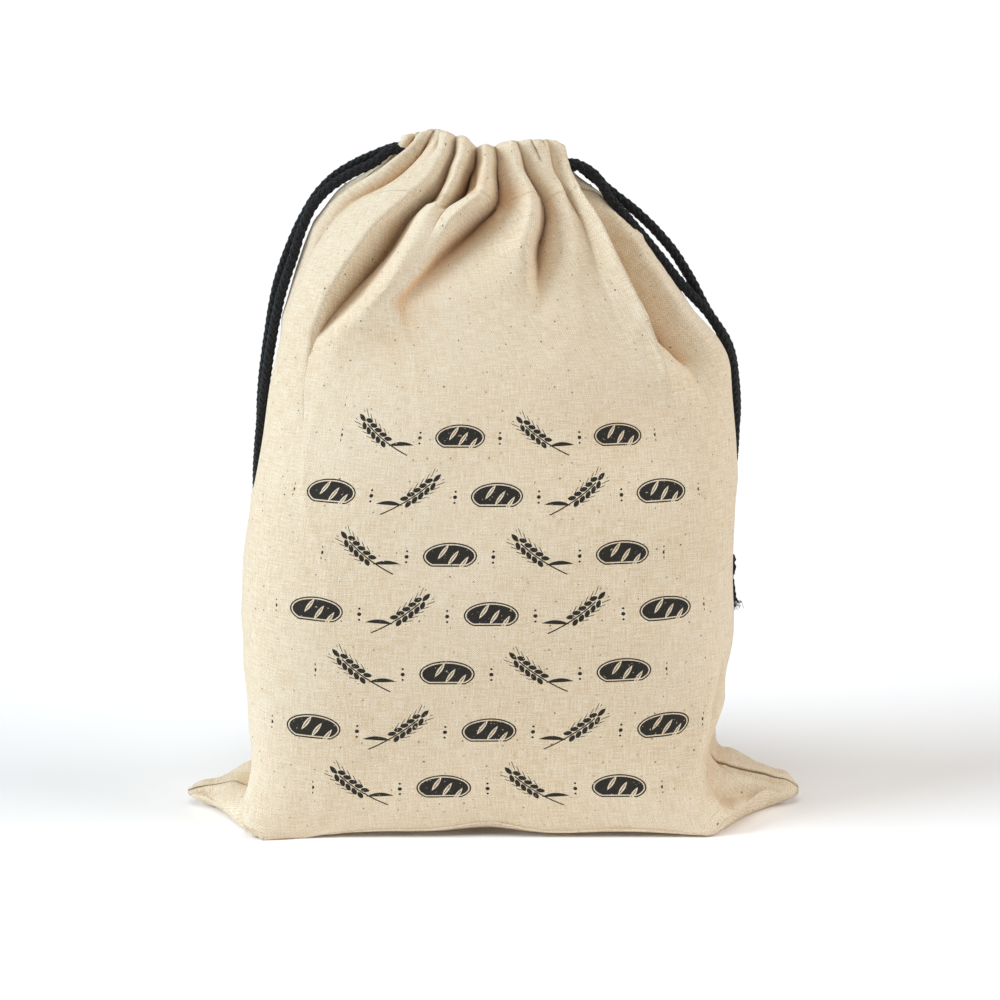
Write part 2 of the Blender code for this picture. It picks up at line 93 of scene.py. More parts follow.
floor_mesh = bpy.data.meshes.new("floor")
corners = [(-FLOOR_HALF, -FLOOR_HALF, 0), (FLOOR_HALF, -FLOOR_HALF, 0)]
corners += [(FLOOR_HALF, FLOOR_HALF, 0), (-FLOOR_HALF, FLOOR_HALF, 0)]
floor_mesh.from_pydata(corners, [], [(0, 1, 2, 3)])
floor = bpy.data.objects.new("floor", floor_mesh)
bpy.context.scene.collection.objects.link(floor)
floor_material = bpy.data.materials.new("pale floor")
floor_material.use_nodes = True
floor_shader = floor_material.node_tree.nodes["Principled BSDF"]
floor_shader.inputs["Base Color"].default_value = FLOOR_COLOUR
floor_shader.inputs["Roughness"].default_value = 0.9
floor_shader.inputs["Specular IOR Level"].default_value = 0.1
floor_mesh.materials.append(floor_material)
print("floor", 2 * FLOOR_HALF, "m wide")

# %% Light
Lamp = namedtuple("Lamp", "towards strength angle colour")
LAMPS = {
    "left": Lamp((-0.84, -0.22, 0.50), 2.9, 32, (0.74, 0.87, 1.0)),
    "right": Lamp((0.84, -0.16, 0.52), 1.5, 36, (0.96, 0.97, 1.0)),
    "overhead": Lamp((-0.10, -0.34, 0.93), 1.1, 45, (0.93, 0.97, 1.0)),
}
WORLD_STRENGTH = 0.17
WORLD_COLOUR = (1.0, 0.975, 0.94, 1.0)

for lamp_name, lamp in LAMPS.items():
    light_data = bpy.data.lights.new(lamp_name, "SUN")
    light_data.angle = float(np.radians(lamp.angle))
    light_data.energy = lamp.strength
    light_data.color = lamp.colour
    light = bpy.data.objects.new(lamp_name, light_data)
    bpy.context.scene.collection.objects.link(light)
    light.rotation_euler = (-Vector(lamp.towards)).to_track_quat("-Z", "Y").to_euler()

world = bpy.data.worlds.new("studio")
world.use_nodes = True
background = world.node_tree.nodes["Background"]
background.inputs["Color"].default_value = WORLD_COLOUR
background.inputs["Strength"].default_value = WORLD_STRENGTH
bpy.context.scene.world = world
bpy.context.scene.view_settings.view_transform = "Standard"
print("lamps:", list(LAMPS))

# %% [markdown]
# ## Writing node trees as arithmetic
#
# A finish such as woven cotton is a long sum of small patterns, and so is a braid's geometry. Both
# kinds of tree use the same Math nodes. `Wire` stands for the output of a node, and adding or
# multiplying two wires adds the Math node that does it. `Bench` is a tree and adds any other node.

# %% Wires and benches
class Wire:
    """The output of a node. Arithmetic on it adds Math nodes to its tree."""

    def __init__(self, bench, socket):
        self.bench = bench
        self.socket = socket

    def __add__(self, other):
        return self.bench.maths("ADD", self, other)

    def __radd__(self, other):
        return self.bench.maths("ADD", other, self)

    def __sub__(self, other):
        return self.bench.maths("SUBTRACT", self, other)

    def __rsub__(self, other):
        return self.bench.maths("SUBTRACT", other, self)

    def __mul__(self, other):
        return self.bench.maths("MULTIPLY", self, other)

    def __rmul__(self, other):
        return self.bench.maths("MULTIPLY", other, self)

    def __truediv__(self, other):
        return self.bench.maths("DIVIDE", self, other)

    def __lt__(self, other):
        return self.bench.maths("LESS_THAN", self, other)

    def __gt__(self, other):
        return self.bench.maths("GREATER_THAN", self, other)

    def __abs__(self):
        return self.bench.maths("ABSOLUTE", self)

    def neighbour(self, name):
        """Another output of the same node."""
        return Wire(self.bench, self.socket.node.outputs[name])


class Bench:
    """One node tree, of a material or of geometry nodes."""

    def __init__(self, tree):
        self.tree = tree

    def node(self, kind, settings, inputs, output=0):
        """Add a node, set it up, feed its sockets and give back one of its outputs."""
        added = self.tree.nodes.new(kind)
        for name, value in settings.items():
            setattr(added, name, value)
        for name, value in inputs.items():
            self.feed(added.inputs[name], value)
        return Wire(self, added.outputs[output])

    def feed(self, socket, value):
        if isinstance(value, Wire):
            self.tree.links.new(value.socket, socket)
        else:
            socket.default_value = value

    def maths(self, operation, *values):
        return self.node("ShaderNodeMath", {"operation": operation}, dict(enumerate(values)))

    def vector_maths(self, operation, first, second):
        return self.node("ShaderNodeVectorMath", {"operation": operation}, {0: first, 1: second})

    def scaled(self, vector, amount):
        return self.node("ShaderNodeVectorMath", {"operation": "SCALE"}, {0: vector, "Scale": amount})

    def vector(self, x=0.0, y=0.0, z=0.0):
        return self.node("ShaderNodeCombineXYZ", {}, {0: x, 1: y, 2: z})

    def mixed(self, amount, first, second, way="MIX"):
        """The first colour at amount 0, and the second one, or both multiplied, at amount 1."""
        settings = {"data_type": "RGBA", "blend_type": way}
        return self.node("ShaderNodeMix", settings, {0: amount, 6: first, 7: second}, 2)

    def noise_at(self, place, scale, detail, roughness=0.5, dimensions="3D", output=0):
        inputs = {"Vector": place, "Scale": scale, "Detail": detail, "Roughness": roughness}
        return self.node("ShaderNodeTexNoise", {"noise_dimensions": dimensions}, inputs, output)

    def smooth_step(self, value, start, end):
        """0 before start, 1 after end and a smooth ramp between them."""
        settings = {"interpolation_type": "SMOOTHSTEP"}
        return self.node("ShaderNodeMapRange", settings, {0: value, 1: start, 2: end, 3: 0.0, 4: 1.0})


def start_tree(name, sockets):
    """A new geometry node tree: its bench, and a wire from each of its named inputs."""
    tree = bpy.data.node_groups.new(name, "GeometryNodeTree")
    for socket_name, kind in sockets.items():
        tree.interface.new_socket(socket_name, in_out="INPUT", socket_type="NodeSocket" + kind)
    tree.interface.new_socket("Mesh", in_out="OUTPUT", socket_type="NodeSocketGeometry")
    bench = Bench(tree)
    given = tree.nodes.new("NodeGroupInput")
    return bench, {socket.name: Wire(bench, socket) for socket in given.outputs}


def finish_tree(bench, mesh, material):
    """Turn what instances are left into real mesh, set its material and hand it out."""
    mesh = bench.node("GeometryNodeRealizeInstances", {}, {"Geometry": mesh})
    mesh = bench.node("GeometryNodeSetMaterial", {}, {"Geometry": mesh, "Material": material})
    result = bench.tree.nodes.new("NodeGroupOutput")
    bench.feed(result.inputs["Mesh"], mesh)
    return bench.tree


print("helpers: Wire, Bench, start_tree, finish_tree")

# %% Helpers for pieces
def add_piece(name, mesh, material):
    """Link a finished mesh as a piece of the object that takes a material slot."""
    piece = bpy.data.objects.new(name, mesh)
    bpy.context.scene.collection.objects.link(piece)
    if not mesh.materials:
        mesh.materials.append(material)
    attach(piece, "root")
    return piece


def mesh_from_nodes(name, start, tree, values):
    """Run a geometry node tree on some data, with its inputs by name, and give back a plain mesh."""
    carrier = bpy.data.objects.new(name, start)
    bpy.context.scene.collection.objects.link(carrier)
    modifier = carrier.modifiers.new("nodes", "NODES")
    modifier.node_group = tree
    for item in tree.interface.items_tree:
        if item.item_type == "SOCKET" and item.name in values:
            modifier[item.identifier] = values[item.name]
    evaluated = carrier.evaluated_get(bpy.context.evaluated_depsgraph_get())
    mesh = bpy.data.meshes.new_from_object(evaluated)
    mesh.name = name
    bpy.data.objects.remove(carrier, do_unlink=True)
    return mesh


def triangles_of(mesh):
    mesh.calc_loop_triangles()
    return len(mesh.loop_triangles)


def table(row_kind, rows):
    """A list of rows whose values have names."""
    return [row_kind(*row) for row in rows]


def tables(row_kind, lists):
    return {name: table(row_kind, rows) for name, rows in lists.items()}


print("helpers: add_piece, mesh_from_nodes, triangles_of, table, tables")

# %% [markdown]
# ## Where the cords run
#
# Each cord leaves the casing at the side, lies down the bag's shoulder and ends in a knot behind the
# side. The table gives the depth and height of each stop and its gap to the cloth, as the solids have
# them, but that the right knot and the lowest stops of its strands hang up to 1.7 mm further out. The
# place sideways follows: it is the outermost point that is this near to the cloth.

# %% Cord stops
CORD_DIAMETER = 5.0 * MM
CordStop = namedtuple("CordStop", "y z gap")
CORD_ROUTES = tables(CordStop, {
    "cord_left_front": [
        (-3.0, 320, 0.2), (-3.2, 314, 2.0), (-3.5, 306.5, 2.2), (-3.8, 297, 2.0), (-4, 285, 1.8),
        (-3.4, 270, 1.6), (-1, 252, 1.2), (3, 230, 1.0), (8, 206, 0.8), (13, 184, 0.8), (21, 163, 0.8),
        (29, 143, 1.2), (36, 129, 3.2),
    ],
    "cord_left_back": [
        (3.4, 320.5, 0.2), (3.5, 315, 2.2), (4, 308, 3.0), (4.6, 299, 3.6), (5, 287, 4.2),
        (5.6, 272, 4.8), (7.5, 254, 5.2), (11, 231, 5.0), (15.5, 207, 4.2), (20.5, 185, 3.2),
        (29, 163, 2.0), (36.5, 144, 2.4), (42, 129, 6.0),
    ],
    "cord_right_front": [
        (-2.8, 312.5, 0.3), (-2.8, 307, 2.2), (-2.6, 298, 2.0), (-2.2, 286, 2.2), (-1.4, 272, 1.4),
        (0, 257, 0.9), (3, 240, 0.8), (7, 222, 0.8), (11, 204, 0.8), (16, 184, 0.8), (22.5, 163, 0.8),
        (30.5, 143, 1.8), (38, 125, 4.4),
    ],
    "cord_right_back": [
        (3.4, 313, 0.3), (3.6, 307.5, 2.8), (4.2, 299, 3.0), (5, 288, 4.0), (6, 274, 4.6), (8, 259, 4.4),
        (10.5, 243, 4.0), (13.5, 226, 4.6), (17.5, 208, 5.4), (23, 187, 4.6), (30.5, 165, 3.2),
        (38, 144, 4.4), (44, 126, 8.6),
    ],
})
print("cords:", {name: len(stops) for name, stops in CORD_ROUTES.items()})

# %% Knots
KNOT_RADIUS = 7.0 * MM
STRAND_ABOVE_KNOT = 7.4 * MM
STRAND_BESIDE_KNOT = 2.9 * MM
Knot = namedtuple("Knot", "y z gap front_tail back_tail")
KNOTS = {
    "left": Knot(41.5, 112, 1.3, (-1.5, -3, -17), (-0.5, 5, -15.5)),
    "right": Knot(43, 108.5, 3.0, (2.5, -4, -17), (1, 4.5, -15)),
}
print("knots:", list(KNOTS))

# %% Cord routes
WIDEST = 0.17
SEARCH_STEP = 0.1 * MM
ROUTE_SPACING = 2.5 * MM
FINE_STEPS = 20
INTO_CASING = Vector((6.5, 0.0, -1.5)) * MM

solid_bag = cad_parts["bag"]
solid_cloth = BVHTree.FromObject(solid_bag, bpy.context.evaluated_depsgraph_get())


def beside_cloth(side, y, z, distance):
    """The outermost point at this y and z that is as near to the cloth as the distance."""
    for x in np.arange(WIDEST, 0, -SEARCH_STEP):
        point = Vector((side * x, y * MM, z * MM))
        if solid_cloth.find_nearest(point)[3] <= distance:
            return point
    raise ValueError(f"no cloth beside y {y}, z {z}")


def running_length(points):
    """How far along its line each point is."""
    return np.concatenate([[0.0], np.cumsum(np.linalg.norm(np.diff(points, axis=0), axis=1))])


def read_along(places, length, points):
    """The points, or any three values of them, read at places along their line."""
    return np.column_stack([np.interp(places, length, points[:, axis]) for axis in range(3)])


def smooth_route(stops, spacing):
    """Evenly spaced points on a smooth curve through the stops."""
    stops = np.array(stops)
    padded = np.vstack([2 * stops[0] - stops[1], stops, 2 * stops[-1] - stops[-2]])
    fine = []
    for before, start, end, after in zip(padded, padded[1:], padded[2:], padded[3:]):
        for t in np.linspace(0, 1, FINE_STEPS, endpoint=False):
            fine.append(0.5 * (
                2 * start + (end - before) * t
                + (2 * before - 5 * start + 4 * end - after) * t ** 2
                + (3 * start - before - 3 * end + after) * t ** 3
            ))
    fine = np.array(fine + [stops[-1]])
    length = running_length(fine)
    places = np.linspace(0, length[-1], round(length[-1] / spacing) + 1)
    return read_along(places, length, fine)


knot_middles = {}
cord_paths = {}
for side_name, side in (("left", -1), ("right", 1)):
    shape = KNOTS[side_name]
    middle = beside_cloth(side, shape.y, shape.z, KNOT_RADIUS + shape.gap * MM)
    knot_middles[side_name] = middle
    for strand in ("front", "back"):
        name = f"cord_{side_name}_{strand}"
        stops = [
            beside_cloth(side, stop.y, stop.z, CORD_DIAMETER / 2 + stop.gap * MM)
            for stop in CORD_ROUTES[name]
        ]
        beside = -STRAND_BESIDE_KNOT if strand == "front" else STRAND_BESIDE_KNOT
        stops.append(middle + Vector((0, beside, STRAND_ABOVE_KNOT)))
        inside = stops[0] + Vector((-side * INTO_CASING.x, INTO_CASING.y, INTO_CASING.z))
        cord_paths[name] = smooth_route([inside] + stops, ROUTE_SPACING)

# %% [markdown]
# ## Black braided cord
#
# The cord is a round braid. Four yarns wind one way round and four the other way, and each passes
# over and under those that it meets. A smooth tube with a bump map would look like plastic at its
# outline, so Geometry Nodes lay eight real yarns round the cord's route.
#
# A yarn's angle grows along the route, and its distance from the middle swings out and in once for
# every two crossings. For four yarns each way the swing is the cosine of four times the angle, and
# the yarns of the other direction take its opposite, so one is always over where the other is under.

# %% Braid tree
YARN_SIDES = 7


def braid_tree():
    """Geometry nodes that lay yarns round a curve in a plain braid."""
    bench, size = start_tree("round braid", {
        "Route": "Geometry", "Turn Length": "Float", "Middle Radius": "Float", "Swing": "Float",
        "Yarn Width": "Float", "Yarn Height": "Float", "Point Spacing": "Float", "Yarns Each Way": "Int",
        "Material": "Material",
    })
    length = bench.node("GeometryNodeCurveLength", {}, {"Curve": size["Route"]})
    line = bench.node("GeometryNodeCurvePrimitiveLine", {}, {"End": (0.0, 0.0, 1.0)})
    count = length / size["Point Spacing"]
    line = bench.node("GeometryNodeResampleCurve", {"mode": "COUNT"}, {"Curve": line, "Count": count})
    yarn_count = size["Yarns Each Way"] * 2
    yarns = bench.node(
        "GeometryNodeDuplicateElements", {"domain": "SPLINE"}, {"Geometry": line, "Amount": yarn_count},
    )
    number = yarns.neighbour("Duplicate Index")

    share = bench.node("GeometryNodeSplineParameter", {}, {}, "Factor")
    place = bench.node(
        "GeometryNodeSampleCurve", {"mode": "FACTOR"}, {"Curves": size["Route"], "Factor": share}, "Position",
    )
    outward = place.neighbour("Normal")
    sideways = bench.vector_maths("CROSS_PRODUCT", place.neighbour("Tangent"), outward)

    way = 1 - 2 * bench.maths("MODULO", number, 2.0)
    which = bench.maths("FLOOR", number / 2)
    along = length * share
    turned = along / size["Turn Length"] * (2 * np.pi)
    angle = way * turned + which / size["Yarns Each Way"] * (2 * np.pi)
    swing = way * bench.maths("COSINE", turned * size["Yarns Each Way"]) * size["Swing"]
    radius = size["Middle Radius"] + swing
    out_part = bench.scaled(outward, bench.maths("COSINE", angle))
    side_part = bench.scaled(sideways, bench.maths("SINE", angle))
    spoke = bench.vector_maths("ADD", out_part, side_part)
    position = bench.vector_maths("ADD", place, bench.scaled(spoke, radius))

    laid = bench.node(
        "GeometryNodeStoreNamedAttribute", {"data_type": "FLOAT", "domain": "POINT"},
        {"Geometry": yarns, "Name": "along", "Value": along},
    )
    laid = bench.node("GeometryNodeSetPosition", {}, {"Geometry": laid, "Position": position})
    laid = bench.node("GeometryNodeSetCurveNormal", {"mode": "FREE"}, {"Curve": laid, "Normal": spoke})

    ring = bench.node(
        "GeometryNodeCurvePrimitiveCircle", {}, {"Resolution": YARN_SIDES, "Radius": 0.5},
    )
    scale = bench.vector(size["Yarn Height"], size["Yarn Width"], 1.0)
    ring = bench.node("GeometryNodeTransform", {}, {"Geometry": ring, "Scale": scale})
    ring_share = bench.node("GeometryNodeSplineParameter", {}, {}, "Factor")
    ring = bench.node(
        "GeometryNodeStoreNamedAttribute", {"data_type": "FLOAT", "domain": "POINT"},
        {"Geometry": ring, "Name": "around", "Value": ring_share},
    )
    mesh = bench.node(
        "GeometryNodeCurveToMesh", {}, {"Curve": laid, "Profile Curve": ring, "Fill Caps": True},
    )
    mesh = bench.node("GeometryNodeSetShadeSmooth", {}, {"Geometry": mesh, "Shade Smooth": True})
    return finish_tree(bench, mesh, size["Material"])


round_braid = braid_tree()
print("braid tree:", len(round_braid.nodes), "nodes")

# %% [markdown]
# ## Black cotton yarn
#
# Dyed black cotton isn't pure black. Its fibres scatter a little grey light, and fine lines run along
# each yarn where its plies lie. The plies come from the braid's own `around` and `along` attributes,
# so they follow every yarn, and a soft sheen stands for the fuzz.

# %% Black cotton
BLACK_YARN = (0.005, 0.005, 0.0052, 1.0)
GREY_YARN = (0.015, 0.015, 0.0155, 1.0)
PLIES = 5
PLY_TWIST = 900.0
FUZZ_SCALE = 2600.0
FUZZ_RANGE = (0.42, 0.75)
PLY_DEPTH = 0.12 * MM


def new_finish(name, roughness, sheen):
    """A material, the bench of its tree and its surface shader, with what stays the same all over."""
    material = bpy.data.materials.new(name)
    material.use_nodes = True
    surface = material.node_tree.nodes["Principled BSDF"]
    surface.inputs["Roughness"].default_value = roughness
    surface.inputs["Specular IOR Level"].default_value = 0.25
    surface.inputs["Sheen Weight"].default_value = sheen
    surface.inputs["Sheen Roughness"].default_value = 0.5
    return material, Bench(material.node_tree), surface


def black_cotton():
    material, bench, surface = new_finish("black cotton yarn", roughness=0.85, sheen=0.12)
    around = bench.node("ShaderNodeAttribute", {"attribute_name": "around"}, {}, "Fac")
    along = bench.node("ShaderNodeAttribute", {"attribute_name": "along"}, {}, "Fac")
    place = bench.node("ShaderNodeTexCoord", {}, {}, "Object")
    fuzz = bench.noise_at(place, FUZZ_SCALE, 2.0)
    ply = bench.maths("SINE", around * (2 * np.pi * PLIES) + along * PLY_TWIST)
    light = bench.smooth_step(fuzz + 0.1 * ply, *FUZZ_RANGE)
    height = ply * 0.5 + fuzz
    bump = bench.node("ShaderNodeBump", {}, {"Height": height, "Distance": PLY_DEPTH, "Strength": 0.8})
    bench.feed(surface.inputs["Base Color"], bench.mixed(light, BLACK_YARN, GREY_YARN))
    bench.feed(surface.inputs["Normal"], bump)
    return material


yarn_finish = black_cotton()
print("finish:", yarn_finish.name)

# %% Cords
TURN_LENGTH = 15.0 * MM
BRAID = {
    "Turn Length": TURN_LENGTH, "Middle Radius": 1.66 * MM, "Swing": 0.32 * MM,
    "Yarn Width": 2.25 * MM, "Yarn Height": 1.1 * MM, "Point Spacing": 0.75 * MM,
    "Yarns Each Way": 4, "Material": yarn_finish,
}


def route_curve(name, points):
    curve = bpy.data.curves.new(name, "CURVE")
    curve.dimensions = "3D"
    spline = curve.splines.new("POLY")
    spline.points.add(len(points) - 1)
    for spline_point, place in zip(spline.points, points):
        spline_point.co = (*place, 1.0)
    return curve


cords = {}
for name, path in cord_paths.items():
    piece_name = name.replace("cord_", "braid_")
    mesh = mesh_from_nodes(piece_name, route_curve(name, path), round_braid, BRAID)
    cords[name] = add_piece(piece_name, mesh, yarn_finish)
    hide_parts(name)
    print(piece_name, "triangles", triangles_of(mesh))

# %% [markdown]
# ## The bag's shape
#
# A place on the cloth has two coordinates, as on the flat bag. `across` is the distance round the
# girth from the middle of the front, positive to the right, and `up` is the height above the bottom
# fold. The side seams lie at plus and minus half the flat width.
#
# The shape comes from short tables: rings that follow the bag's outline, folds that run down from the
# mouth, broad dents and bulges, and single creases. The rings are the solid's own, but for softer
# corners at the base. The front folds run near the solid's and are drawn more closely, because light
# finds each edge of them. A cloth simulation could make folds too, but not these folds in these
# places, so the main ones are listed one by one.

# %% Sizes of the bag
FLAT_WIDTH = 0.300
FLAT_HEIGHT = 0.400
HALF_WIDTH = FLAT_WIDTH / 2
GIRTH = 2 * FLAT_WIDTH
CLOTH_THICKNESS = 1.0 * MM
BASE_UP = 40 * MM
print("flat bag in mm:", FLAT_WIDTH / MM, "by", FLAT_HEIGHT / MM)

# %% Rings up the bag
# The bag's outline at heights up the cloth, all in millimetres but the squareness. z_front and z_side
# are the heights of the outline at the panels' middles and at the seams. square is the exponent of a
# superellipse: 2 is an ellipse and 8 nearly a rectangle.
Section = namedtuple("Section", "up z_front z_side half_width centre front back square")
SECTIONS = table(Section, [
    (5.5, 0.0, 5.0, 149.5, -3.3, 6.4, 6.4, 6.0),
    (22, 0.0, 8.5, 132.5, -3.5, 26.3, 25.3, 9.0),
    (40, 0.0, 14.0, 115.0, -2.5, 50.5, 45.0, 13.0),
    (50, 9.0, 21.0, 113.5, -5.0, 51.0, 47.0, 10.0),
    (80, 38.0, 47.0, 115.5, -6.0, 52.0, 50.0, 5.5),
    (120, 77.0, 83.0, 119.0, -4.0, 55.0, 54.0, 3.8),
    (160, 115.0, 118.0, 118.0, -4.0, 57.0, 56.0, 3.2),
    (200, 152.0, 153.0, 115.2, -2.5, 56.0, 55.0, 2.9),
    (240, 188.0, 188.0, 111.2, -0.2, 52.0, 51.0, 2.6),
    (280, 222.0, 222.0, 105.5, 0.5, 46.0, 45.0, 2.4),
    (310, 247.0, 247.0, 93.5, -6.0, 40.0, 39.0, 2.3),
    (335, 267.0, 268.0, 82.5, -10.5, 34.0, 33.0, 2.2),
    (355, 284.0, 284.0, 73.0, -13.5, 28.0, 27.0, 2.1),
    (372, 298.0, 298.0, 60.0, -15.5, 22.0, 21.0, 2.1),
    (386, 309.5, 309.5, 43.5, -11.5, 16.5, 16.0, 2.2),
    (393, 315.5, 317.0, 37.5, -8.5, 14.5, 14.0, 2.3),
    (400, 321.0, 324.0, 36.5, -8.0, 13.0, 13.0, 2.4),
])
print("rings:", len(SECTIONS))

# %% Folds of the front
# The folds that run down from the mouth. Crests and troughs follow each other round the girth, from the
# left seam over the front to the right side. A stop is a place on one of them and how far the cloth
# stands out there, negative in a trough. Below its last stop a fold fades out.
Stop = namedtuple("Stop", "up across out")
FRONT_FOLDS = tables(Stop, {
    "left end trough": [(400, -152, -1), (385, -166, -3), (350, -173, -3), (298, -179, 0)],
    "left end crest": [(400, -137, 1.5), (385, -156, 4), (350, -165, 3), (298, -170, 0.5)],
    "tab trough": [(400, -116, -3), (385, -142, -3), (350, -157, -3), (298, -162, -0.5)],
    "tab crest": [(400, -97, 3), (388, -124, 3), (372, -141, 2), (345, -149, 1), (298, -152, 0.5)],
    "left shoulder trough": [
        (400, -80, -4), (396, -88, -5), (390, -99, -5), (382, -113, -4), (373, -122, -2.5),
        (357, -127, -2), (343, -132, -2), (325, -139, -1), (298, -143, -0.5),
    ],
    "left shoulder ridge": [
        (400, -58, 3), (394, -58, 4), (388, -55, 5), (383, -52, 5.5), (376, -56, 6), (367, -68, 7),
        (358, -79, 8), (351, -84, 8.5), (343, -89, 8.5), (335, -94, 8.5), (327, -98, 8),
        (319, -102, 6.5), (308, -106, 4), (296, -110, 1),
    ],
    "long left trough": [
        (400, -44, -5), (393, -43, -6), (387, -40, -7.5), (381, -37, -9), (375, -41, -10.5),
        (371, -50, -11.5), (366, -57, -12), (358, -63, -13), (352, -67, -13.5), (346, -72, -13.5),
        (339, -79, -13), (331, -85.5, -11), (321, -93, -8.5), (309, -101, -5), (299, -106, -2.5),
        (285, -110, -0.5),
    ],
    "pillow ridge": [
        (400, -29, 3.5), (393, -28, 4), (388, -26, 4.5), (381, -22, 4), (376, -22, 3.5), (372, -26, 4.5),
        (368, -32, 6), (358, -39, 7.5), (351, -44, 8), (343, -50, 7.5), (336, -55, 7), (328, -61, 6.5),
        (319, -69, 5.5), (308, -80, 4), (297, -90, 2.5), (280, -92, 0.5),
    ],
    "slit": [
        (400, -10, -7), (392, -10, -11), (386, -9, -14), (381, -8, -15), (376, -11, -12), (370, -18, -3),
        (362, -25, 4), (352, -33, 6.8), (345, -41, 6.8), (337, -48, 6.2), (329, -56, 5.8),
        (318, -65, 4.5),
    ],
    "crossing ridge": [
        (400, 4, 3.5), (389, 12, 5), (381, 17, 7), (376, 17, 8.5), (373, 12, 9.5), (370, 4, 10),
        (366, -5, 10), (360, -17, 9), (356, -21, 7.5), (352, -26, 6.3), (345, -33, 5.5), (337, -41, 5),
        (329, -50, 4.8), (318, -59, 3.8),
    ],
    "middle trough": [
        (400, 20, -5), (391, 26, -7), (384, 32, -9), (379, 35, -11.5), (375, 32, -13), (371, 24, -14.5),
        (368, 15, -15), (364, 6, -15.5), (360, -2, -15.5), (356, -10, -15), (351, -18, -13.5),
        (346, -26, -11), (338, -35, -6), (329, -44, -2), (318, -50, 0.5),
    ],
    "flap ridge": [
        (400, 46, 2.5), (394, 52, 3.5), (388, 59, 4), (381, 68, 6), (377, 69, 7), (373, 67, 8),
        (365, 59, 9.5), (358, 51, 10), (351, 43, 10), (344, 38, 8.5), (337, 35, 6), (329, 32, 3.5),
        (322, 31, 1.5), (312, 29, 0.5),
    ],
    "right trough": [
        (400, 55, -2), (394, 62, -4), (388, 69, -6.5), (381, 79, -9.5), (375, 83, -11), (369, 78, -12.5),
        (361, 67, -13), (353, 56, -12), (346, 50, -11), (339, 46, -8), (331, 41, -4.5), (322, 38, -1.5),
        (308, 35, 0),
    ],
    "fan ridge": [
        (400, 88, 2.5), (388, 101, 3.5), (378, 101, 4), (370, 95, 4.5), (350, 80, 5), (318, 62, 1),
    ],
    "right hollow": [
        (400, 110, -4), (393, 112, -3.5), (379, 110, -2.5), (368, 104, -1), (352, 94, 2), (320, 82, 3.5),
        (285, 77, 1),
    ],
    "right front edge": [
        (400, 132, 3), (394, 131, 4), (386, 127, 5.5), (378, 119.5, 7.5), (369, 112, 9.5),
        (353, 104.5, 12.5), (338, 99.5, 13.5), (322, 97, 13.5), (306, 95, 11.5), (292, 91, 7.5),
        (276, 90, 4), (262, 92, 1.5),
    ],
    "right side trough": [
        (400, 148, -2), (384, 143, -6), (369, 125, -15), (353, 118, -23), (337, 113.5, -27),
        (321, 111, -27), (307, 110, -24), (295, 109, -17), (280, 109, -8), (262, 114, -2),
    ],
    "right seam ridge": [
        (400, 158, 0), (384, 156, 0), (369, 145, 1), (353, 136, 1.5), (337, 133, 2), (321, 131, 2),
        (300, 130, 2), (280, 130, 1), (262, 130, 0),
    ],
})
print("folds of the front:", len(FRONT_FOLDS))

# %% Folds of the back
# The folds of the back, from the right side round to the left, crest and trough in turn. A fold is
# straight: its place at the mouth and at its foot, how far it stands out at its strongest, and its foot.
BackFold = namedtuple("BackFold", "across_top across_foot out foot")
BACK_FOLDS = table(BackFold, [
    (168, 152, 3, 280), (189, 176, -11, 265), (208, 202, 6, 260), (226, 220, -4, 290),
    (243, 237, 4, 290), (262, 256, -12, 285), (281, 273, 6, 280), (300, 298, -4, 310),
    (318, 322, 3, 290), (334, 349, -11, 285), (350, 366, 5, 290), (370, 374, -4, 310),
    (388, 390, 6, 265), (405, 402, -11, 260), (424, 413, 4, 285),
])
MOUTH_OUT = 3.0
BACK_STRONGEST_UP = 348
FADE = 25
EVEN_UP = 60
print("folds of the back:", len(BACK_FOLDS))

# %% Swells and ears
# Where the bag stands, so that the middle of its box is on the origin
BAG_SHIFT = np.array([3.3, 0.6, 0.0]) * MM

# Broad dents and bulges: place, reach, how far the cloth moves outwards and how far it is lifted
Swell = namedtuple("Swell", "across up reach_across reach_up outwards lift")
SWELLS = {
    "front bottom edge, middle": Swell(-2, 32, 20, 22, -3.0, 3.6),
    "front bottom edge, left": Swell(-46, 32, 42, 22, -2.5, 3.4),
    "front bottom edge, right": Swell(56, 32, 44, 22, -3.0, 2.8),
    "left front corner": Swell(-110, 42, 18, 18, 7.0, 0.0),
    "right corner crease": Swell(119, 68, 15, 15, -15.0, 0.0),
    "right corner lobe": Swell(103, 45, 12, 14, 1.0, 0.0),
    "right waist": Swell(133, 106, 42, 20, -5.5, 0.0),
    "right side": Swell(150, 150, 40, 50, -3.0, 0.0),
    "right lower side": Swell(150, 66, 24, 20, -7.0, 0.0),
    "left lower side": Swell(-150, 74, 34, 36, -6.5, 0.0),
    "left ear tip": Swell(-160, 7, 8, 9, 0.0, 3.5),
    "right ear tip": Swell(161, 7, 9, 9, 0.0, 8.0),
    "left ear back": Swell(-172, 34, 12, 12, 1.0, 5.0),
    "right ear back": Swell(172, 34, 12, 12, 1.0, 2.0),
    "front belly": Swell(-30, 150, 90, 70, 2.5, 0.0),
    "front upper right": Swell(62, 250, 34, 34, -4.0, 0.0),
    "front upper left": Swell(-66, 245, 40, 45, 3.0, 0.0),
    "back bottom edge": Swell(286, 40, 60, 22, -5.0, 3.0),
    "back belly": Swell(-262, 130, 70, 60, 2.5, 0.0),
    "back upper": Swell(235, 230, 50, 45, -3.0, 0.0),
    "right ear hollow": Swell(137, 28, 9, 12, -1.0, 0.0),
    "left ear hollow": Swell(-141, 16, 8, 9, -2.0, 0.0),
}

